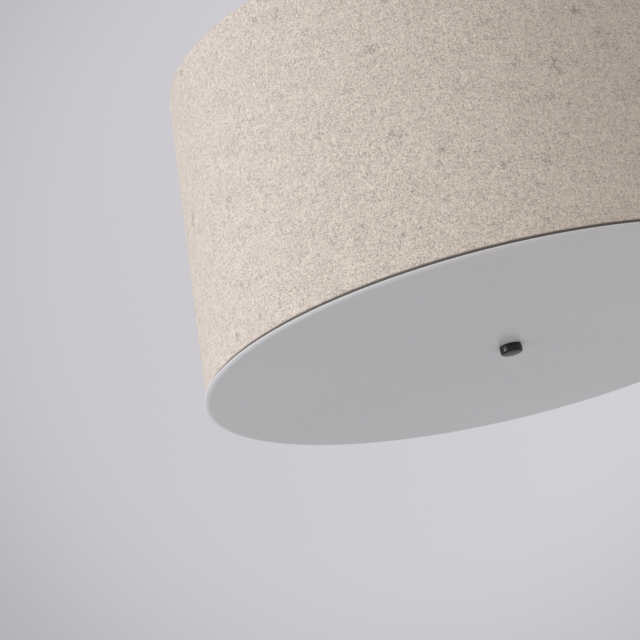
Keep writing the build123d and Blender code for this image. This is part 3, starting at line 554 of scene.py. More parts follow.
def add_object(name: str, data: bpy.types.ID) -> bpy.types.Object:
    """Make an object and put it in the scene."""
    made = bpy.data.objects.new(name, data)
    bpy.context.scene.collection.objects.link(made)
    return made


def written(shape: bmesh.types.BMesh, name: str) -> bpy.types.Mesh:
    """Turn a mesh being built, which is used up, into a finished one."""
    mesh = bpy.data.meshes.new(name)
    shape.to_mesh(mesh)
    shape.free()
    return mesh


def finish_mesh(shape: bmesh.types.BMesh, name: str, sharp_degrees: float = 35.0) -> bpy.types.Mesh:
    """Close off a mesh being built: merged, turned outward, smooth but for its sharp edges.

    Args:
        shape: The mesh being built, which is used up.
        name: The finished mesh's name.
        sharp_degrees: The angle past which an edge stays sharp.

    Returns:
        The finished mesh.
    """
    bmesh.ops.remove_doubles(shape, verts=shape.verts, dist=SAME_POINT)
    bmesh.ops.recalc_face_normals(shape, faces=shape.faces)
    for face in shape.faces:
        face.smooth = True
    for edge in shape.edges:
        edge.smooth = len(edge.link_faces) == 2 and edge.calc_face_angle() < math.radians(sharp_degrees)
    return written(shape, name)


def turned(
    outline: Sequence[Point],
    sides: int = 64,
    place: Matrix | None = None,
    widen: Callable[[float, float, float], float] | None = None,
    closed: bool = False,
) -> bmesh.types.BMesh:
    """Turn an outline about Z.

    Args:
        outline: Radius and height of each point, in metres. Open outlines start and end on the axis.
        sides: Number of columns.
        place: Where the turned shape goes.
        widen: A rule that gives a point's radius from its angle, radius and height.
        closed: Whether the outline is a loop clear of the axis.

    Returns:
        The mesh being built.
    """
    shape = bmesh.new()
    columns = []
    for side in range(sides):
        angle = FULL_TURN * side / sides
        column = []
        for radius, height in outline:
            reach = widen(angle, radius, height) if widen else radius
            column.append(shape.verts.new((reach * math.cos(angle), reach * math.sin(angle), height)))
        columns.append(column)
    steps = len(outline) if closed else len(outline) - 1
    for left, right in zip(columns, columns[1:] + columns[:1]):
        for step in range(steps):
            after = (step + 1) % len(outline)
            shape.faces.new((left[step], right[step], right[after], left[after]))
    bmesh.ops.remove_doubles(shape, verts=shape.verts, dist=SAME_POINT)
    bmesh.ops.dissolve_degenerate(shape, dist=SAME_POINT, edges=shape.edges)
    if place is not None:
        shape.transform(place)
    return shape


def arc(centre: Point, radius: float, start: float, stop: float, steps: int) -> list[Point]:
    """Points of an arc, from start to stop degrees."""
    angles = [math.radians(start + (stop - start) * step / steps) for step in range(steps + 1)]
    return [(centre[0] + radius * math.cos(angle), centre[1] + radius * math.sin(angle)) for angle in angles]


def level_way(degrees: float) -> Vector:
    """The level direction at an angle round the axis."""
    angle = math.radians(degrees)
    return Vector((math.cos(angle), math.sin(angle), 0.0))


def lamp_matrix(degrees: float, reach: float, height: float) -> Matrix:
    """The place of a lamp's own frame: Z runs out along the lamp from a point of its axis."""
    outward = level_way(degrees)
    sideways = UP.cross(outward)
    # Columns are the lamp's own X, Y and Z in the frame's axes.
    turn = Matrix((sideways, outward.cross(sideways), outward)).transposed().to_4x4()
    return Matrix.Translation(outward * reach + UP * height) @ turn


FLAT_SHARE = 1.02  # points nearer the axis than this share of the half width stay round


def hexagon_radius(across_flats: float) -> Callable[[float, float, float], float]:
    """A rule that turns the outermost radius of an outline into a hexagon."""

    def rule(angle: float, radius: float, height: float) -> float:
        """Radius at an angle: points at or past the flats lie on the hexagon."""
        half = across_flats / 2
        if radius < half * FLAT_SHARE:
            return radius
        off_middle = (angle + math.pi / 6) % (math.pi / 3) - math.pi / 6
        return min(radius, half / math.cos(off_middle))

    return rule


def hex_nut(across_flats: float, height: float, bore: float) -> bmesh.types.BMesh:
    """A nut with its corners turned off at 30 degrees and a countersunk bore.

    Args:
        across_flats: Width of the hexagon.
        height: Height of the nut.
        bore: Radius of its hole.

    Returns:
        The mesh being built, standing on Z = 0.
    """
    half = across_flats / 2
    corner = half / math.cos(math.pi / 6)
    bevel = (corner - half) * math.tan(math.radians(30.0))
    # The bevel is a run of short steps, so that it ends in an arc on every flat.
    start, sink = 0.98 * half, 0.18 * bore
    steps = 6
    low = [(start + (corner - start) * step / steps, bevel * step / steps) for step in range(steps + 1)]
    high = [(radius, height - drop) for radius, drop in reversed(low)]
    outline = [(bore, sink), (bore + sink, 0.0), *low, *high, (bore + sink, height), (bore, height - sink)]
    return turned(outline, 48, widen=hexagon_radius(across_flats), closed=True)


def cut_by_boxes(mesh: bpy.types.Mesh, boxes: Iterable[tuple[Vector, Vector]]) -> bpy.types.Mesh:
    """Cut box-shaped recesses out of a closed mesh.

    Args:
        mesh: The mesh to cut.
        boxes: Centre and size of each box.

    Returns:
        A new mesh with the recesses.
    """
    body = add_object("recess_work", mesh)
    cutters = []
    for centre, size in boxes:
        shape = bmesh.new()
        bmesh.ops.create_cube(shape, size=1.0, matrix=Matrix.LocRotScale(centre, None, size))
        cutters.append(add_object("recess_cutter", written(shape, "recess_cutter")))
        step = body.modifiers.new("recess", "BOOLEAN")
        step.operation, step.solver, step.object = "DIFFERENCE", "EXACT", cutters[-1]
    result = evaluated_mesh(body, mesh.name + "_cut")
    for spare in (body, *cutters):
        bpy.data.objects.remove(spare)
    return result


def evaluated_mesh(piece: bpy.types.Object, name: str) -> bpy.types.Mesh:
    """The mesh that an object's modifiers make of it."""
    bpy.context.view_layer.update()
    graph = bpy.context.evaluated_depsgraph_get()
    mesh = bpy.data.meshes.new_from_object(piece.evaluated_get(graph), depsgraph=graph)
    mesh.name = name
    return mesh


# --- Geometry Nodes --------------------------------------------------------------------


class NodeForm:
    """A Geometry Nodes tree with named inputs that ends in Realize Instances and Set Material."""

    def __init__(self, title: str, inputs: dict[str, str]) -> None:
        """Start the tree.

        Args:
            title: The tree's name.
            inputs: Socket type of each named input, in order.
        """
        self.tree = bpy.data.node_groups.new(title, "GeometryNodeTree")
        face = self.tree.interface
        self.ids = {}
        kinds = {"Geometry": "NodeSocketGeometry", **inputs, "Finish": "NodeSocketMaterial"}
        for name, kind in kinds.items():
            self.ids[name] = face.new_socket(name, in_out="INPUT", socket_type=kind).identifier
        face.new_socket("Geometry", in_out="OUTPUT", socket_type="NodeSocketGeometry")
        self.entry = add_node(self.tree, "NodeGroupInput").node.outputs

    def close(self, geometry: Socket) -> None:
        """End the tree: real geometry, with its material."""
        real = add_node(self.tree, "GeometryNodeRealizeInstances", (geometry,))
        inputs = {"Geometry": real, "Material": self.entry["Finish"]}
        add_node(self.tree, "NodeGroupOutput", (add_node(self.tree, "GeometryNodeSetMaterial", inputs),))

    def run(self, seats: bpy.types.Mesh, name: str, values: dict[str, object]) -> bpy.types.Mesh:
        """Evaluate the tree once.

        Args:
            seats: The mesh that goes in.
            name: Name of the resulting mesh.
            values: A value for each named input.

        Returns:
            The plain mesh.
        """
        carrier = add_object(name + "_seats", seats)
        modifier = carrier.modifiers.new("form", "NODES")
        modifier.node_group = self.tree
        for key, value in values.items():
            modifier[self.ids[key]] = value
        mesh = evaluated_mesh(carrier, name)
        bpy.data.objects.remove(carrier)
        return mesh


class RepeatForm(NodeForm):
    """Puts one fitting on every seat, turned to the seat's aim."""

    def __init__(self) -> None:
        """Build the tree."""
        super().__init__("fitting on every seat", {"Fitting": "NodeSocketObject"})
        tree, entry = self.tree, self.entry
        named = "GeometryNodeInputNamedAttribute"
        aim = add_node(tree, named, {"Name": "aim"}, data_type="FLOAT_VECTOR")
        spin = {"Axis": UP, "Angle": add_node(tree, named, {"Name": "spin"}, data_type="FLOAT")}
        upright = add_node(tree, "FunctionNodeAlignRotationToVector", {"Vector": aim}, axis="Z")
        turns = (upright, add_node(tree, "FunctionNodeAxisAngleToRotation", spin))
        turn = add_node(tree, "FunctionNodeRotateRotation", turns, rotation_space="LOCAL")
        fitting = add_node(
            tree, "GeometryNodeObjectInfo", {"Object": entry["Fitting"]}, "Geometry", transform_space="ORIGINAL"
        )
        copies = {"Points": entry["Geometry"], "Instance": fitting, "Rotation": turn}
        self.close(add_node(tree, "GeometryNodeInstanceOnPoints", copies))

    def place(
        self, name: str, fitting: bpy.types.Mesh, seats: Sequence[Seat], finish: bpy.types.Material
    ) -> bpy.types.Mesh:
        """Put a fitting on its seats.

        Args:
            name: Name of the resulting mesh.
            fitting: The fitting, with its seat at the origin and its axis along Z.
            seats: Where the copies go.
            finish: The copies' material.

        Returns:
            One mesh with all the copies.
        """
        points = bpy.data.meshes.new(name + "_points")
        points.from_pydata([place for place, _, _ in seats], [], [])
        aims = points.attributes.new("aim", "FLOAT_VECTOR", "POINT")
        aims.data.foreach_set("vector", [part for _, aim, _ in seats for part in aim])
        spins = points.attributes.new("spin", "FLOAT", "POINT")
        spins.data.foreach_set("value", [spin for _, _, spin in seats])
        master = add_object(name + "_master", fitting)
        mesh = self.run(points, name, {"Fitting": master, "Finish": finish})
        bpy.data.objects.remove(master)
        return mesh


class ThreadShape(Enum):
    """How a thread's flanks run."""

    CUT = "LINEAR"
    ROLLED = "SMOOTHERSTEP"


class ThreadForm(NodeForm):
    """A round bar whose skin rises and falls in a helix."""

    def __init__(self, shape: ThreadShape) -> None:
        """Build the tree.

        Args:
            shape: How the flanks run.
        """
        lengths = dict.fromkeys(("Radius", "Length", "Pitch", "Depth"), "NodeSocketFloat")
        counts = dict.fromkeys(("Sides", "Rows"), "NodeSocketInt")
        super().__init__(f"{shape.name.lower()} thread", lengths | counts)
        tree, entry = self.tree, self.entry
        sizes = {"Vertices": entry["Sides"], "Side Segments": entry["Rows"]}
        sizes |= {"Radius": entry["Radius"], "Depth": entry["Length"]}
        bar = add_node(tree, "GeometryNodeMeshCylinder", sizes, "Mesh", fill_type="NGON")
        place = add_node(tree, "GeometryNodeInputPosition")
        x, y, z = add_node(tree, "ShaderNodeSeparateXYZ", (place,)).node.outputs
        angle = add_node(tree, "ShaderNodeMath", (y, x), operation="ARCTAN2")
        turn = add_node(tree, "ShaderNodeMath", (angle, FULL_TURN), operation="DIVIDE")
        rise = add_node(tree, "ShaderNodeMath", (z, entry["Pitch"]), operation="DIVIDE")
        climb = add_node(tree, "ShaderNodeMath", (rise, turn), operation="SUBTRACT")
        wave = add_node(tree, "ShaderNodeMath", (climb, 0.5), operation="PINGPONG")
        shaped = add_node(tree, "ShaderNodeMapRange", (wave, 0.0, 0.5), interpolation_type=shape.value)
        sink = add_node(tree, "ShaderNodeMath", (shaped, entry["Depth"]), operation="MULTIPLY")
        share = add_node(tree, "ShaderNodeMath", (sink, entry["Radius"]), operation="DIVIDE")
        inward = add_node(tree, "ShaderNodeCombineXYZ", (x, y))
        for factor in (share, -1.0):
            inward = add_node(tree, "ShaderNodeVectorMath", {0: inward, 3: factor}, operation="SCALE")
        self.close(add_node(tree, "GeometryNodeSetPosition", {"Geometry": bar, "Offset": inward}))

    def bar(
        self,
        name: str,
        radius: float,
        length: float,
        pitch: float,
        depth: float,
        finish: bpy.types.Material,
        place: Matrix,
        sides: int = 28,
        rows_per_turn: int = 4,
    ) -> bpy.types.Mesh:
        """Make one threaded bar.

        Args:
            name: The mesh's name.
            radius: Radius over the thread.
            length: Length of the bar, half each side of its middle.
            pitch: Rise of one turn.
            depth: Depth of the thread.
            finish: The bar's material.
            place: Where its middle and axis go.
            sides: Number of columns.
            rows_per_turn: Rows of faces in one turn.

        Returns:
            The mesh, smooth but for its ends.
        """
        rows = max(2, round(length / pitch * rows_per_turn))
        values = {"Radius": radius, "Length": length, "Pitch": pitch, "Depth": depth}
        values |= {"Sides": sides, "Rows": rows, "Finish": finish}
        raw = self.run(bpy.data.meshes.new(name + "_start"), name, values)
        shape = bmesh.new()
        shape.from_mesh(raw)
        shape.transform(place)
        return finish_mesh(shape, name, 50.0)


# --- Studio ----------------------------------------------------------------------------


@dataclass(frozen=True)
class Studio:
    """Camera, soft lights, pale floor and pale background.

    The camera's place is given from the middle of the shade's lower edge.
    """

    distance: float = 1.3912
    drop: float = 0.390
    target_height: float = -0.216
    yaw: float = -0.0839
    pitch: float = 0.3024
    roll: float = -0.2238
    lens: float = 124.8
    sensor: float = 36.0
    clip_start: float = 0.05
    sky_strength: float = 0.80
    floor_height: float = -2.45
    floor_size: float = 18.0
    floor_colour: str = "#C4C3C5"
    floor_fade: Point = (5.0, 8.9)  # from the point under the ceiling, in metres
    floor_far_strength: float = 1.02
    # The background is painted brighter round the aim and darker towards its edges and to the left: a painted
    # pool of light.
    backdrop_middle: str = "#CFCDD2"
    backdrop_edge: str = "#BAB9BE"
    backdrop_shift: Point = (0.020, 0.015)  # radians, right of and above the aim
    backdrop_spot: Point = (0.972, 0.993)  # cosines, from the edge's colour to the middle's
    backdrop_beyond: Point = (0.96, 0.90)  # the same behind the camera's view
    backdrop_sides: Point = (-0.25, 0.05)  # left and right, for its strength
    backdrop_strength: Point = (0.92, 1.04)
    key_place: tuple[float, float, float] = (-2.05, -1.12, -0.10)
    key_size: float = 1.2
    key_power: float = 41.0
    key_tint: tuple[float, float, float] = (0.86, 0.92, 1.0)

    def build(self) -> None:
        """Set the camera, the lights, the world and the floor."""
        self.place_camera()
        self.light_room()
        self.place_key()
        self.lay_floor()

    def place_camera(self) -> None:
        """Look up at the light from below and to one side, as the photograph does."""
        forward = self.way(self.yaw, self.pitch)
        level = Vector((math.cos(self.yaw), -math.sin(self.yaw), 0.0))
        raised = level.cross(forward)
        right = math.cos(self.roll) * level + math.sin(self.roll) * raised
        upward = math.cos(self.roll) * raised - math.sin(self.roll) * level
        turn = Matrix((right, upward, -forward)).transposed().to_4x4()
        lens = bpy.data.cameras.new("camera")
        lens.lens, lens.sensor_width, lens.clip_start = self.lens, self.sensor, self.clip_start
        camera = add_object("camera", lens)
        place = Vector((0.0, -self.distance, self.target_height - self.drop))
        camera.matrix_world = Matrix.Translation(place) @ turn
        bpy.context.scene.camera = camera

    @staticmethod
    def way(yaw: float, pitch: float) -> Vector:
        """The direction at an angle right of +Y and an angle above the level."""
        return Vector((math.sin(yaw) * math.cos(pitch), math.cos(yaw) * math.cos(pitch), math.sin(pitch)))

    def light_room(self) -> None:
        """Light from all round, with a pale background where the camera or a gloss sees past."""
        world = bpy.data.worlds.new("pale room")
        world.use_nodes = True
        tree = world.node_tree
        tree.nodes.clear()
        direction = add_node(tree, "ShaderNodeTexCoord", outlet="Generated")
        middle = self.way(self.yaw + self.backdrop_shift[0], self.pitch + self.backdrop_shift[1])
        near = add_node(tree, "ShaderNodeVectorMath", (direction, middle), "Value", operation="DOT_PRODUCT")
        rings = [
            add_node(tree, "ShaderNodeMapRange", (near, *limits), interpolation_type="SMOOTHSTEP")
            for limits in (self.backdrop_spot, self.backdrop_beyond)
        ]
        even = add_node(tree, "ShaderNodeMath", rings, operation="MAXIMUM")
        colours = {0: even, 6: linear(self.backdrop_edge), 7: linear(self.backdrop_middle)}
        side = add_node(tree, "ShaderNodeSeparateXYZ", (direction,))
        strength = (side, *self.backdrop_sides, *self.backdrop_strength)
        seen = {
            "Color": add_node(tree, "ShaderNodeMix", colours, 2, data_type="RGBA"),
            "Strength": add_node(tree, "ShaderNodeMapRange", strength),
        }
        sky = {"Color": (1.0, 1.0, 1.0, 1.0), "Strength": self.sky_strength}
        path = add_node(tree, "ShaderNodeLightPath").node.outputs
        direct = 0.0
        for ray in ("Is Camera Ray", "Is Transmission Ray", "Is Glossy Ray"):
            direct = add_node(tree, "ShaderNodeMath", (path[ray], direct), operation="MAXIMUM")
        layers = [direct, *(add_node(tree, "ShaderNodeBackground", look) for look in (sky, seen))]
        add_node(tree, "ShaderNodeOutputWorld", {"Surface": add_node(tree, "ShaderNodeMixShader", layers)})
        bpy.context.scene.world = world
        bpy.context.scene.view_settings.view_transform = "Standard"

    def place_key(self) -> None:
        """One large soft light at the left."""
        lamp = bpy.data.lights.new("soft window", "AREA")
        lamp.shape, lamp.size = "SQUARE", self.key_size
        lamp.energy, lamp.color = self.key_power, self.key_tint
        holder = add_object("soft window", lamp)
        holder.location = self.key_place
        aim = UP * (self.target_height / 2) - Vector(self.key_place)
        holder.rotation_euler = aim.to_track_quat("-Z", "Y").to_euler()

    def lay_floor(self) -> None:
        """A plain pale floor well below the light, whose far parts pass into the background."""
        material = new_material("pale floor")
        tree = material.node_tree
        matt = {"Base Color": linear(self.floor_colour), "Roughness": 0.9}
        far = {"Color": linear(self.backdrop_middle), "Strength": self.floor_far_strength}
        place = add_node(tree, "ShaderNodeTexCoord", outlet="Object")
        reach = add_node(tree, "ShaderNodeVectorMath", (place,), "Value", operation="LENGTH")
        limits = (reach, *self.floor_fade)
        faded = add_node(tree, "ShaderNodeMapRange", limits, interpolation_type="SMOOTHSTEP")
        direct = add_node(tree, "ShaderNodeLightPath", outlet="Is Camera Ray")
        layers = (
            add_node(tree, "ShaderNodeMath", (faded, direct), operation="MULTIPLY"),
            add_node(tree, "ShaderNodeBsdfPrincipled", matt),
            add_node(tree, "ShaderNodeEmission", far),
        )
        add_node(tree, "ShaderNodeOutputMaterial", {"Surface": add_node(tree, "ShaderNodeMixShader", layers)})
        shape = bmesh.new()
        bmesh.ops.create_grid(shape, x_segments=1, y_segments=1, size=self.floor_size / 2)
        shape.transform(Matrix.Translation(UP * self.floor_height))
        floor = add_object("floor", written(shape, "floor"))
        floor.data.materials.append(material)


# --- Sub-assemblies --------------------------------------------------------------------


@dataclass
class LinenShade:
    """The linen: one strip laid round the liner, turned over both rings and lapped at the back.

    Heights along the strip run from the lower tuck, round the lower hem, up the wall, round the
    upper hem and into the upper tuck.
    """

    shop: Workshop
    cloth: float = 0.7 * MM
    hem_inside: float = 1.725 * MM
    bottom_radius: float = 0.2
    top_radius: float = 0.1835
    lap_width: float = 12 * MM
    lap_ramp: float = 5 * MM
    arm_notch: float = 2.3 * MM
    notch_clear: float = 0.3  # degrees from a notch to the next column
    cut_edge: float = 0.12 * MM
    hem_turn: float = 270.0  # degrees of each roll
    notched_turn: float = 150.0  # what a notch leaves of the upper roll
    columns: int = 480
    wall_rows: int = 24
    roll_rows: int = 14

    def __post_init__(self) -> None:
        """Work out the wall's line from the hem's size and the frame."""
        low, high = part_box("shade_fabric")
        self.hem = self.hem_inside + self.cloth
        self.middle = self.hem_inside + self.cloth / 2
        self.low_hem = Vector((self.bottom_radius - self.hem, low.z + self.hem))
        self.high_hem = Vector((self.top_radius - self.hem, high.z - self.hem))
        run = self.high_hem - self.low_hem
        self.wall = run.length
        self.up = run.normalized()
        self.out = Vector((self.up.y, -self.up.x))

    def line(self, share: float) -> list[tuple[Vector, Vector, float, float]]:
        """The strip's middle line.

        Args:
            share: How much of the upper roll's end the cloth still has, from 0 to 1.

        Returns:
            Place, outward direction, distance along the strip and share of the lap, at every row.
        """
        rows = []
        begin = self.middle * math.radians(self.hem_turn)

        def roll(centre: Vector, start: float, turn: float, distance: float) -> None:
            """Add the rows of one roll, from a start angle on."""
            for step in range(self.roll_rows + 1):
                angle = math.radians(start + turn * step / self.roll_rows)
                way = self.out * math.cos(angle) + self.up * math.sin(angle)
                along = distance + self.middle * math.radians(turn) * step / self.roll_rows
                lap = max(0.0, math.cos(min(math.pi / 2, abs(angle))))
                rows.append((centre + way * self.middle, way, along, lap))

        roll(self.low_hem, -self.hem_turn, self.hem_turn, 0.0)
        for step in range(1, self.wall_rows):
            part = step / self.wall_rows
            place = self.low_hem.lerp(self.high_hem, part) + self.out * self.middle
            rows.append((place, self.out, begin + self.wall * part, 1.0))
        upper_turn = self.notched_turn + (self.hem_turn - self.notched_turn) * share
        roll(self.high_hem, 0.0, upper_turn, begin + self.wall)
        return rows

    def lap_height(self, arc_length: float) -> float:
        """How far the lap lifts the cloth: a soft rise over the end below it, then a cut edge."""
        if arc_length < 0.0 or arc_length > self.lap_width + self.lap_ramp:
            return 0.0
        rise = min(1.0, arc_length / self.lap_ramp)
        return self.cloth * rise * rise * (3.0 - 2.0 * rise)

    def stations(self) -> list[tuple[float, float]]:
        """Angles round the shade in degrees, with the share of the upper roll that is there."""
        notch = math.degrees(self.arm_notch / (self.top_radius - self.hem))
        edge = math.degrees(self.cut_edge / self.bottom_radius)
        lap_end = 90.0 + math.degrees((self.lap_width / 2) / self.bottom_radius)
        spread = [round(360.0 * column / self.columns, 6) for column in range(self.columns)]
        near = notch + self.notch_clear
        angles = {angle: 1.0 for angle in spread if all(abs(angle - arm) >= near for arm in ARM_ANGLES)}
        cuts = ((-notch - edge, 1.0), (-notch, 0.0), (0.0, 0.0), (notch, 0.0), (notch + edge, 1.0))
        angles |= {round(arm + offset, 6): share for arm in ARM_ANGLES for offset, share in cuts}
        angles |= {round(lap_end + offset, 6): 1.0 for offset in (0.0, edge)}
        return sorted(angles.items())

    def build(self) -> None:
        """Make the cloth and its map, and work out its area."""
        shape = bmesh.new()
        uv = shape.loops.layers.uv.new("cloth")
        lap_end = math.radians(90.0) + (self.lap_width / 2) / self.bottom_radius
        full_lap = self.lap_width + self.lap_ramp
        columns = []
        for degrees, share in self.stations():
            angle = math.radians(degrees)
            from_end = (angle - lap_end) * self.bottom_radius
            lift = self.lap_height(full_lap + from_end) if from_end <= 1e-7 else 0.0
            direction = level_way(degrees)
            column = []
            for place, way, distance, lap_share in self.line(share):
                outer = place + way * (self.cloth / 2 + lift * lap_share)
                inner = place - way * (self.cloth / 2)
                verts = [shape.verts.new(direction * flat.x + UP * flat.y) for flat in (outer, inner)]
                column.append((*verts, distance))
            columns.append((angle, column))
        for index, (angle, column) in enumerate(columns):
            next_angle, after = columns[(index + 1) % len(columns)]
            if next_angle <= angle:
                next_angle += FULL_TURN
            self.strip(shape, uv, (angle, column), (next_angle, after))
        self.area = sum(face.calc_area() for face in shape.faces) / 2
        mesh = finish_mesh(shape, "linen_shade", 40.0)
        self.shop.add("linen_shade", mesh, "shade_fabric")

    def strip(self, shape: bmesh.types.BMesh, uv: object, left: tuple, right: tuple) -> None:
        """Join two columns: the face side, the back side and the two turned edges.

        Args:
            shape: The mesh being built.
            uv: The cloth's map.
            left: Angle and rows of one column.
            right: Angle and rows of the next.
        """
        (start, here), (stop, there) = left, right
        last = len(here) - 1
        loops = []
        for row in (0, last):
            ends = ((here, start, 0), (there, stop, 0), (there, stop, 1), (here, start, 1))
            loops.append([(column, row, angle, layer) for column, angle, layer in ends])
        for row in range(last):
            corners = ((here, row, start), (there, row, stop), (there, row + 1, stop), (here, row + 1, start))
            loops += [[(*corner, layer) for corner in corners] for layer in (0, 1)]
        for corners in loops:
            face = shape.faces.new([column[row][layer] for column, row, _, layer in corners])
            for loop, (column, row, angle, _) in zip(face.loops, corners):
                loop[uv].uv = (angle * self.bottom_radius, column[row][2])


@dataclass
class ShadeFrame:
    """What carries the cloth: liner, rings, spider, and the washer and nut under the hub."""

    shop: Workshop
    repeat: RepeatForm
    bead_radius: float = 2.3 * MM
    bead_height: float = 1.1 * MM
    bead_root: float = 0.4 * MM
    bead_reach: float = 18.5 * MM
    bead_side: float = 1.5 * MM  # each side of the arm's middle
    hub_lift: float = 2.5 * MM  # from the washer's top to the top of the hub

    def build(self) -> None:
        """Dress the wire and the liner, and put the weld beads where the arms meet the hub."""
        self.shop.keep("shade_liner", "bottom_ring", "shade_spider", "spider_washer")
        dome = arc((0.0, 0.0), 1.0, 0.0, 80.0, 4)
        outline = [(self.bead_radius * across, self.bead_height * up) for across, up in dome]
        outline += [(0.0, self.bead_height), (0.0, -self.bead_root), (self.bead_radius, -self.bead_root)]
        bead = finish_mesh(turned(outline, 20, closed=True), "weld_bead")
        hub_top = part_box("spider_washer")[1].z + self.hub_lift
        seats = []
        for degrees in ARM_ANGLES:
            outward = level_way(degrees)
            for side in (-1.0, 1.0):
                aside = UP.cross(outward) * side * self.bead_side
                seats.append((outward * self.bead_reach + aside + UP * hub_top, UP, side))
        mesh = self.repeat.place("spider_welds", bead, seats, self.shop.materials[Slot.RING_WIRE])
        self.shop.add("spider_welds", mesh, "shade_spider", replace=False)


@dataclass
class Diffuser:
    """The opal disc, its rubber washer and the round black knob.

    The disc is level under the hem, falls away outside it, and curves up softly underneath. The
    knob is turned with a broad bevel round its face.
    """

    shop: Workshop
    seat_radius: float = 197.9 * MM
    rim_reach: float = 4.4 * MM
    rim_rise: float = 1.45 * MM
    corner: float = 0.2 * MM
    rim_ease: float = 0.03 * MM  # how far the rim's edge is taken off
    rim_under: float = 0.05 * MM
    rim_top: float = 0.12 * MM
    rim_steps: int = 14
    hole_radius: float = 4.9 * MM
    columns: int = 400
    knob_face: float = 6.15 * MM
    knob_face_ease: Point = (0.08 * MM, 0.02 * MM)
    knob_bevel: float = 0.85 * MM
    knob_bevel_ease: float = 0.06 * MM
    knob_ease: float = 0.4 * MM
    knob_head: float = 4.88 * MM  # a hair clear of the rubber washer
    knob_neck: float = 4.6 * MM
    knob_bore: float = 3.1 * MM
    knob_floor: float = 1.4 * MM

    def build(self) -> None:
        """Turn the disc and the knob, and dress the washer."""
        low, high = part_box("diffuser")
        radius = -low.y
        bend = (self.rim_reach**2 + self.rim_rise**2) / (2 * self.rim_rise)
        slope = math.degrees(math.asin(self.rim_reach / bend))
        under = arc((radius - self.rim_reach, low.z + bend), bend, -90.0, slope - 90.0, self.rim_steps)
        edge = low.z + self.rim_rise
        outline = [
            (self.hole_radius, low.z),
            *under[:-1],
            (radius - self.rim_ease, edge - self.rim_under),
            (radius, edge + self.rim_ease),
            (radius - self.rim_top, edge + self.corner),
            (self.seat_radius, high.z),
            (self.hole_radius, high.z),
        ]
        mesh = finish_mesh(turned(outline, self.columns, closed=True), "opal_disc", 50.0)
        self.shop.add("opal_disc", mesh, "diffuser")
        self.shop.keep("finial_washer")
        self.turn_knob()

    def turn_knob(self) -> None:
        """Turn the knob: a level face, a broad bevel, a straight side, a neck and a blind bore."""
        low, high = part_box("finial_knob")
        radius, top = high.x, low.z + self.knob_head
        bevel, ease, floor = low.z + self.knob_bevel, self.knob_bevel_ease, low.z + self.knob_floor
        outline = [
            (0.0, low.z),
            (self.knob_face, low.z),
            (self.knob_face + self.knob_face_ease[0], low.z + self.knob_face_ease[1]),
            (radius - ease, bevel - ease),
            (radius, bevel + ease),
            (radius, top - self.knob_ease),
            (radius - self.knob_ease, top),
            (self.knob_neck, top),
            (self.knob_neck, high.z),
            (self.knob_bore, high.z),
            (self.knob_bore, floor),
            (0.0, floor),
        ]
        self.shop.add("turned_knob", finish_mesh(turned(outline, 96), "turned_knob", 30.0), "finial_knob")


@dataclass
class RodAndNuts:
    """Threaded rod, studs and every plain nut."""

    shop: Workshop
    repeat: RepeatForm
    cut: ThreadForm
    rod_radius: float = 3.0 * MM
    rod_pitch: float = 1.0 * MM
    rod_depth: float = 0.5 * MM
    rod_flats: float = 10 * MM
    stud_reach: float = 56 * MM
    stud_radius: float = 2.0 * MM
    stud_pitch: float = 0.7 * MM
    stud_depth: float = 0.36 * MM
    stud_flats: float = 7 * MM
    bore_play: float = 0.05 * MM

    def build(self) -> None:
        """Thread the rod and the studs, and bevel the nuts."""
        rod, studs = [Vector()], [Vector((side * self.stud_reach, 0.0, 0.0)) for side in (-1.0, 1.0)]
        thick = (self.rod_radius, self.rod_pitch, self.rod_depth)
        thin = (self.stud_radius, self.stud_pitch, self.stud_depth)
        self.thread("threaded_rod", "centre_rod", rod, *thick)
        self.thread("threaded_studs", "mounting_studs", studs, *thin)
        for node in ("rod_top_nut", "rod_lower_nut", "spider_stop_nut", "spider_nut"):
            self.nuts(node, self.rod_flats, self.rod_radius + self.bore_play, rod)
        self.nuts("stud_nuts", self.stud_flats, self.stud_radius + self.bore_play, studs)
        self.shop.keep("rod_lock_washer", "cap_nuts")

    def thread(
        self, name: str, node: str, seats: Sequence[Vector], radius: float, pitch: float, depth: float
    ) -> None:
        """Replace plain bars by threaded ones.

        Args:
            name: The new piece's name.
            node: The CAD node of the bars.
            seats: The bars' axes.
            radius: Radius over the thread.
            pitch: Rise of one turn.
            depth: Depth of the thread.
        """
        low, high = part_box(node)
        finish = self.shop.materials[slot_of(node)]
        shape = bmesh.new()
        for seat in seats:
            place = Matrix.Translation(seat + UP * ((low.z + high.z) / 2))
            shape.from_mesh(self.cut.bar(name, radius, high.z - low.z, pitch, depth, finish, place))
        self.shop.add(name, finish_mesh(shape, name, 50.0), node)

    def nuts(self, node: str, flats: float, bore: float, seats: Sequence[Vector]) -> None:
        """Replace plain hexagons by bevelled nuts.

        Args:
            node: The CAD node of the nuts.
            flats: Width across the flats.
            bore: Radius of the hole.
            seats: The nuts' axes.
        """
        low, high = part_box(node)
        nut = finish_mesh(hex_nut(flats, high.z - low.z, bore), "nut", 30.0)
        places = [(seat + UP * low.z, UP, 0.0) for seat in seats]
        finish = self.shop.materials[slot_of(node)]
        name = f"{node}_bevelled"
        self.shop.add(name, self.repeat.place(name, nut, places, finish), node)


class Recess(Enum):
    """The driver that a screw takes, with its recess's length in radii of the head."""

    SLOT = 2.4
    CROSS = 1.15


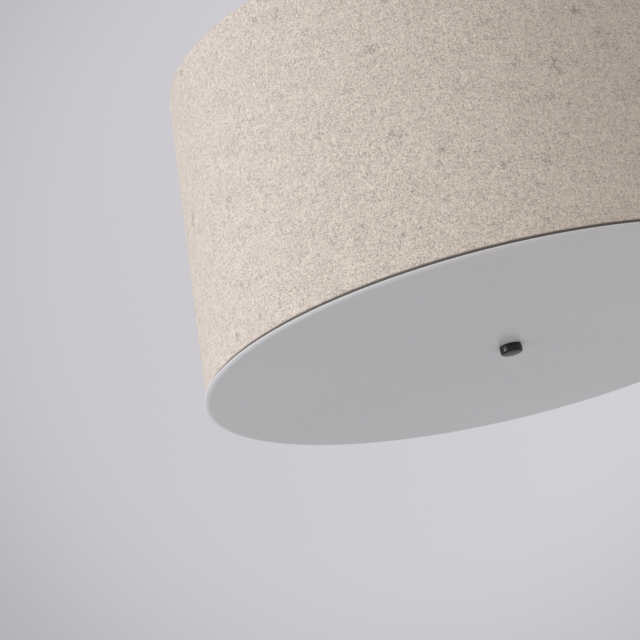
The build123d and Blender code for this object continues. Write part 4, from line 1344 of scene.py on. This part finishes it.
@dataclass
class Screws:
    """Every screw that shows its head: a domed head with a recess, on a plain shank."""

    shop: Workshop
    repeat: RepeatForm
    shank: float = 1.5 * MM
    head: float = 2.8 * MM
    head_height: float = 2.0 * MM
    recess_width: float = 0.75 * MM
    recess_depth: float = 1.1 * MM
    recess_over: float = 1.0 * MM  # how far the cutter stands out of the head
    crown: float = 0.35  # share of the height that the dome's falls are counted in
    # Each point of the dome: its radius in radii of the head, and its fall from the top.
    dome: tuple[Point, ...] = ((1.0, 2.0), (0.96, 1.3), (0.82, 0.7), (0.6, 0.28), (0.3, 0.06))
    shank_end: Point = (0.8, 0.3)  # radius and height of its chamfer, in radii of the shank
    holder_reach: float = 27.5 * MM
    holder_side: float = 7.5 * MM
    holder_length: float = 9.3 * MM
    holder_turn: float = 0.4
    terminal_head: float = 2.4 * MM
    terminal_height: float = 0.9 * MM
    terminal_shank: float = 1.6 * MM
    terminal_turn: Point = (0.5, 40.0)  # first turn, and radians for each metre along X
    block_turn: float = 30.0
    earth_head: float = 3.8 * MM
    earth_shank: float = 2.0 * MM
    earth_turn: float = 0.7

    def fitting(
        self, head: float, height: float, shank: float, reach: float, recess: Recess
    ) -> bpy.types.Mesh:
        """One screw, standing on the underside of its head.

        Args:
            head: Radius of the head.
            height: Height of the head.
            shank: Radius of the shank.
            reach: Length of the shank.
            recess: The driver that it takes.

        Returns:
            The screw's mesh.
        """
        crown = self.crown * height
        narrow, rise = (share * shank for share in self.shank_end)
        outline = [(0.0, -reach), (narrow, -reach), (shank, rise - reach), (shank, 0.0), (head, 0.0)]
        outline += [(head * share, height - fall * crown) for share, fall in self.dome]
        mesh = finish_mesh(turned([*outline, (0.0, height)], 32), "screw", 40.0)
        middle = UP * (height - self.recess_depth / 2 + self.recess_over / 2)
        long_side = recess.value * head
        depth = self.recess_depth + self.recess_over
        boxes = [(middle, Vector((long_side, self.recess_width, depth)))]
        if recess is Recess.CROSS:
            boxes.append((middle, Vector((self.recess_width, long_side, depth))))
        return cut_by_boxes(mesh, boxes)

    def build(self) -> None:
        """Put the screws of the holders, of the terminal block and of the earth tag in place."""
        usual = (self.head, self.head_height, self.shank)
        seats = []
        for letter, degrees in LAMPS.items():
            outward = level_way(degrees)
            axis = outward * self.holder_reach + UP * lamp_height(letter)
            for side in (-1.0, 1.0):
                seats.append((axis + UP * side * self.holder_side, -outward, self.holder_turn * side))
        self.put("holder_screws", seats, self.fitting(*usual, self.holder_length, Recess.CROSS))

        # Each screw is left at its own turn, so the turns differ from place to place.
        low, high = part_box("terminal_screws")
        top, inset = high.z - self.terminal_height, self.terminal_head
        columns, rows = (low.x + inset, 0.0, high.x - inset), (low.y + inset, high.y - inset)
        first, drift = self.terminal_turn
        seats = [(Vector((x, y, top)), UP, first + drift * x) for x in columns for y in rows]
        size = (self.terminal_head, self.terminal_height, self.terminal_shank)
        self.put("terminal_screws", seats, self.fitting(*size, top - low.z, Recess.SLOT))

        low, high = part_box("block_screws")
        top, middle_y = high.z - self.head_height, (low.y + high.y) / 2
        columns = (low.x + self.head, high.x - self.head)
        seats = [(Vector((x, middle_y, top)), UP, x * self.block_turn) for x in columns]
        self.put("block_screws", seats, self.fitting(*usual, top - low.z, Recess.CROSS))

        low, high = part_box("earth_screw")
        middle = (low + high) / 2
        seats = [(Vector((middle.x, middle.y, low.z + self.head_height)), -UP, self.earth_turn)]
        size = (self.earth_head, self.head_height, self.earth_shank)
        self.put("earth_screw", seats, self.fitting(*size, high.z - low.z - self.head_height, Recess.SLOT))

    def put(self, node: str, seats: Sequence[Seat], screw: bpy.types.Mesh) -> None:
        """Replace a node of plain screws by finished ones on the same seats."""
        name = f"{node}_driven"
        mesh = self.repeat.place(name, screw, seats, self.shop.materials[slot_of(node)])
        self.shop.add(name, mesh, node)


@dataclass
class Lamp:
    """One lamp: bracket, porcelain holder, threaded sleeve, contact and bulb."""

    shop: Workshop
    rolled: ThreadForm
    letter: str
    degrees: float
    cap_radius: float = 13.1 * MM
    thread_pitch: float = 3.63 * MM
    thread_depth: float = 0.75 * MM
    shoulder: float = 70 * MM
    cap_length: float = 22 * MM
    collar: float = 2.6 * MM
    collar_bead: tuple[Point, ...] = ((0.25 * MM, 0.4 * MM), (0.0, 0.8 * MM))  # inset and height
    taper: float = 3.0 * MM
    glass_inset: float = 0.2 * MM
    tip_radius: float = 4.6 * MM
    tip_clear: Point = (0.5 * MM, 0.1 * MM)  # of the glass, round the tip and along it
    sleeve_inside: float = 13.45 * MM
    sleeve_wall: float = 0.4 * MM
    sleeve_start: float = 45 * MM
    sleeve_end: float = 63 * MM
    sleeve_wave: float = 0.12 * MM
    sleeve_rows: int = 60

    def build(self) -> None:
        """Dress the nodes whose shape is right, and thread the cap and the sleeve."""
        parts = ("holder_bracket", "lamp_holder", "holder_contact", "bulb_tip", "bulb_skirt", "bulb_globe")
        self.shop.keep(*(f"{part}_{self.letter}" for part in parts))
        self.cap()
        self.sleeve()

    def place(self, reach: float) -> Matrix:
        """The lamp's own frame at a distance out along its axis."""
        return lamp_matrix(self.degrees, reach, lamp_height(self.letter))

    def cap(self) -> None:
        """The screw cap: a plain collar, a rolled thread and a black glass end."""
        node, name = f"bulb_cap_{self.letter}", f"bulb_cap_thread_{self.letter}"
        length = self.cap_length - self.taper - self.collar
        sizes = (self.cap_radius, length, self.thread_pitch, self.thread_depth)
        middle = self.place(self.shoulder - self.collar - length / 2)
        finish = self.shop.materials[Slot.BULB_CAP]
        screw = self.rolled.bar(name, *sizes, finish, middle, sides=64, rows_per_turn=12)
        inner = self.cap_radius - self.thread_depth
        outline = [(0.0, -self.collar), (inner, -self.collar)]
        outline += [(self.cap_radius - inset, rise - self.collar) for inset, rise in self.collar_bead]
        shape = turned([*outline, (self.cap_radius, 0.0), (0.0, 0.0)], 64, self.place(self.shoulder))
        shape.from_mesh(screw)
        self.shop.add(name, finish_mesh(shape, name, 50.0), node)

        name = f"bulb_insulator_{self.letter}"
        narrow, lip = self.tip_radius + self.tip_clear[0], self.tip_clear[1]
        wide = inner - self.glass_inset - narrow
        bend = arc((0.0, 0.0), 1.0, 15.0, 90.0, 5)
        cone = [(narrow + wide * across, self.taper * (1 - fall)) for fall, across in bend]
        cone = [(0.0, lip), (narrow, lip), *cone, (0.0, self.taper)]
        shape = turned(cone, 48, self.place(self.shoulder - self.cap_length))
        glass = finish_mesh(shape, name, 50.0)
        self.shop.add(name, glass, node, replace=False, material=self.shop.insulator)

    def sleeve(self) -> None:
        """The holder's sleeve: thin brass with a thread rolled in it."""
        node, name = f"holder_shell_{self.letter}", f"holder_sleeve_{self.letter}"
        length = self.sleeve_end - self.sleeve_start
        heights = [length * row / self.sleeve_rows for row in range(self.sleeve_rows + 1)]
        outline = [(self.sleeve_inside, height) for height in heights]
        outline += [(self.sleeve_inside + self.sleeve_wall, height) for height in reversed(heights)]

        def helix(angle: float, radius: float, height: float) -> float:
            """Both skins bow once for each turn of the thread, and the wall keeps some thickness."""
            wave = math.sin(FULL_TURN * height / self.thread_pitch - angle)
            if radius < self.sleeve_inside + self.sleeve_wall / 2:
                return radius + self.sleeve_wave * (1 + wave)
            return radius - self.sleeve_wave * (1 - wave)

        shape = turned(outline, 64, self.place(self.sleeve_start), widen=helix, closed=True)
        self.shop.add(name, finish_mesh(shape, name, 60.0), node)


@dataclass
class Canopy:
    """Mounting bar, pan, rivets, grommets, terminal block and leads."""

    shop: Workshop

    def build(self) -> None:
        """Dress the pieces whose CAD shape is right."""
        nodes = ["mounting_bar", "canopy_pan", "bracket_rivets", "lead_grommets", "terminal_block"]
        self.shop.keep(*nodes, "earth_lead", *(f"lead_pair_{letter}" for letter in LAMPS))


def main() -> None:
    """Build the studio and every sub-assembly, in order."""
    logging.basicConfig(level=logging.INFO, format="%(name)s: %(message)s")
    Studio().build()
    shop = Workshop()
    repeat = RepeatForm()
    cut, rolled = ThreadForm(ThreadShape.CUT), ThreadForm(ThreadShape.ROLLED)
    LinenShade(shop).build()
    ShadeFrame(shop, repeat).build()
    Diffuser(shop).build()
    RodAndNuts(shop, repeat, cut).build()
    Screws(shop, repeat).build()
    for letter, degrees in LAMPS.items():
        Lamp(shop, rolled, letter, degrees).build()
    Canopy(shop).build()


if __name__ == "__main__":
    main()
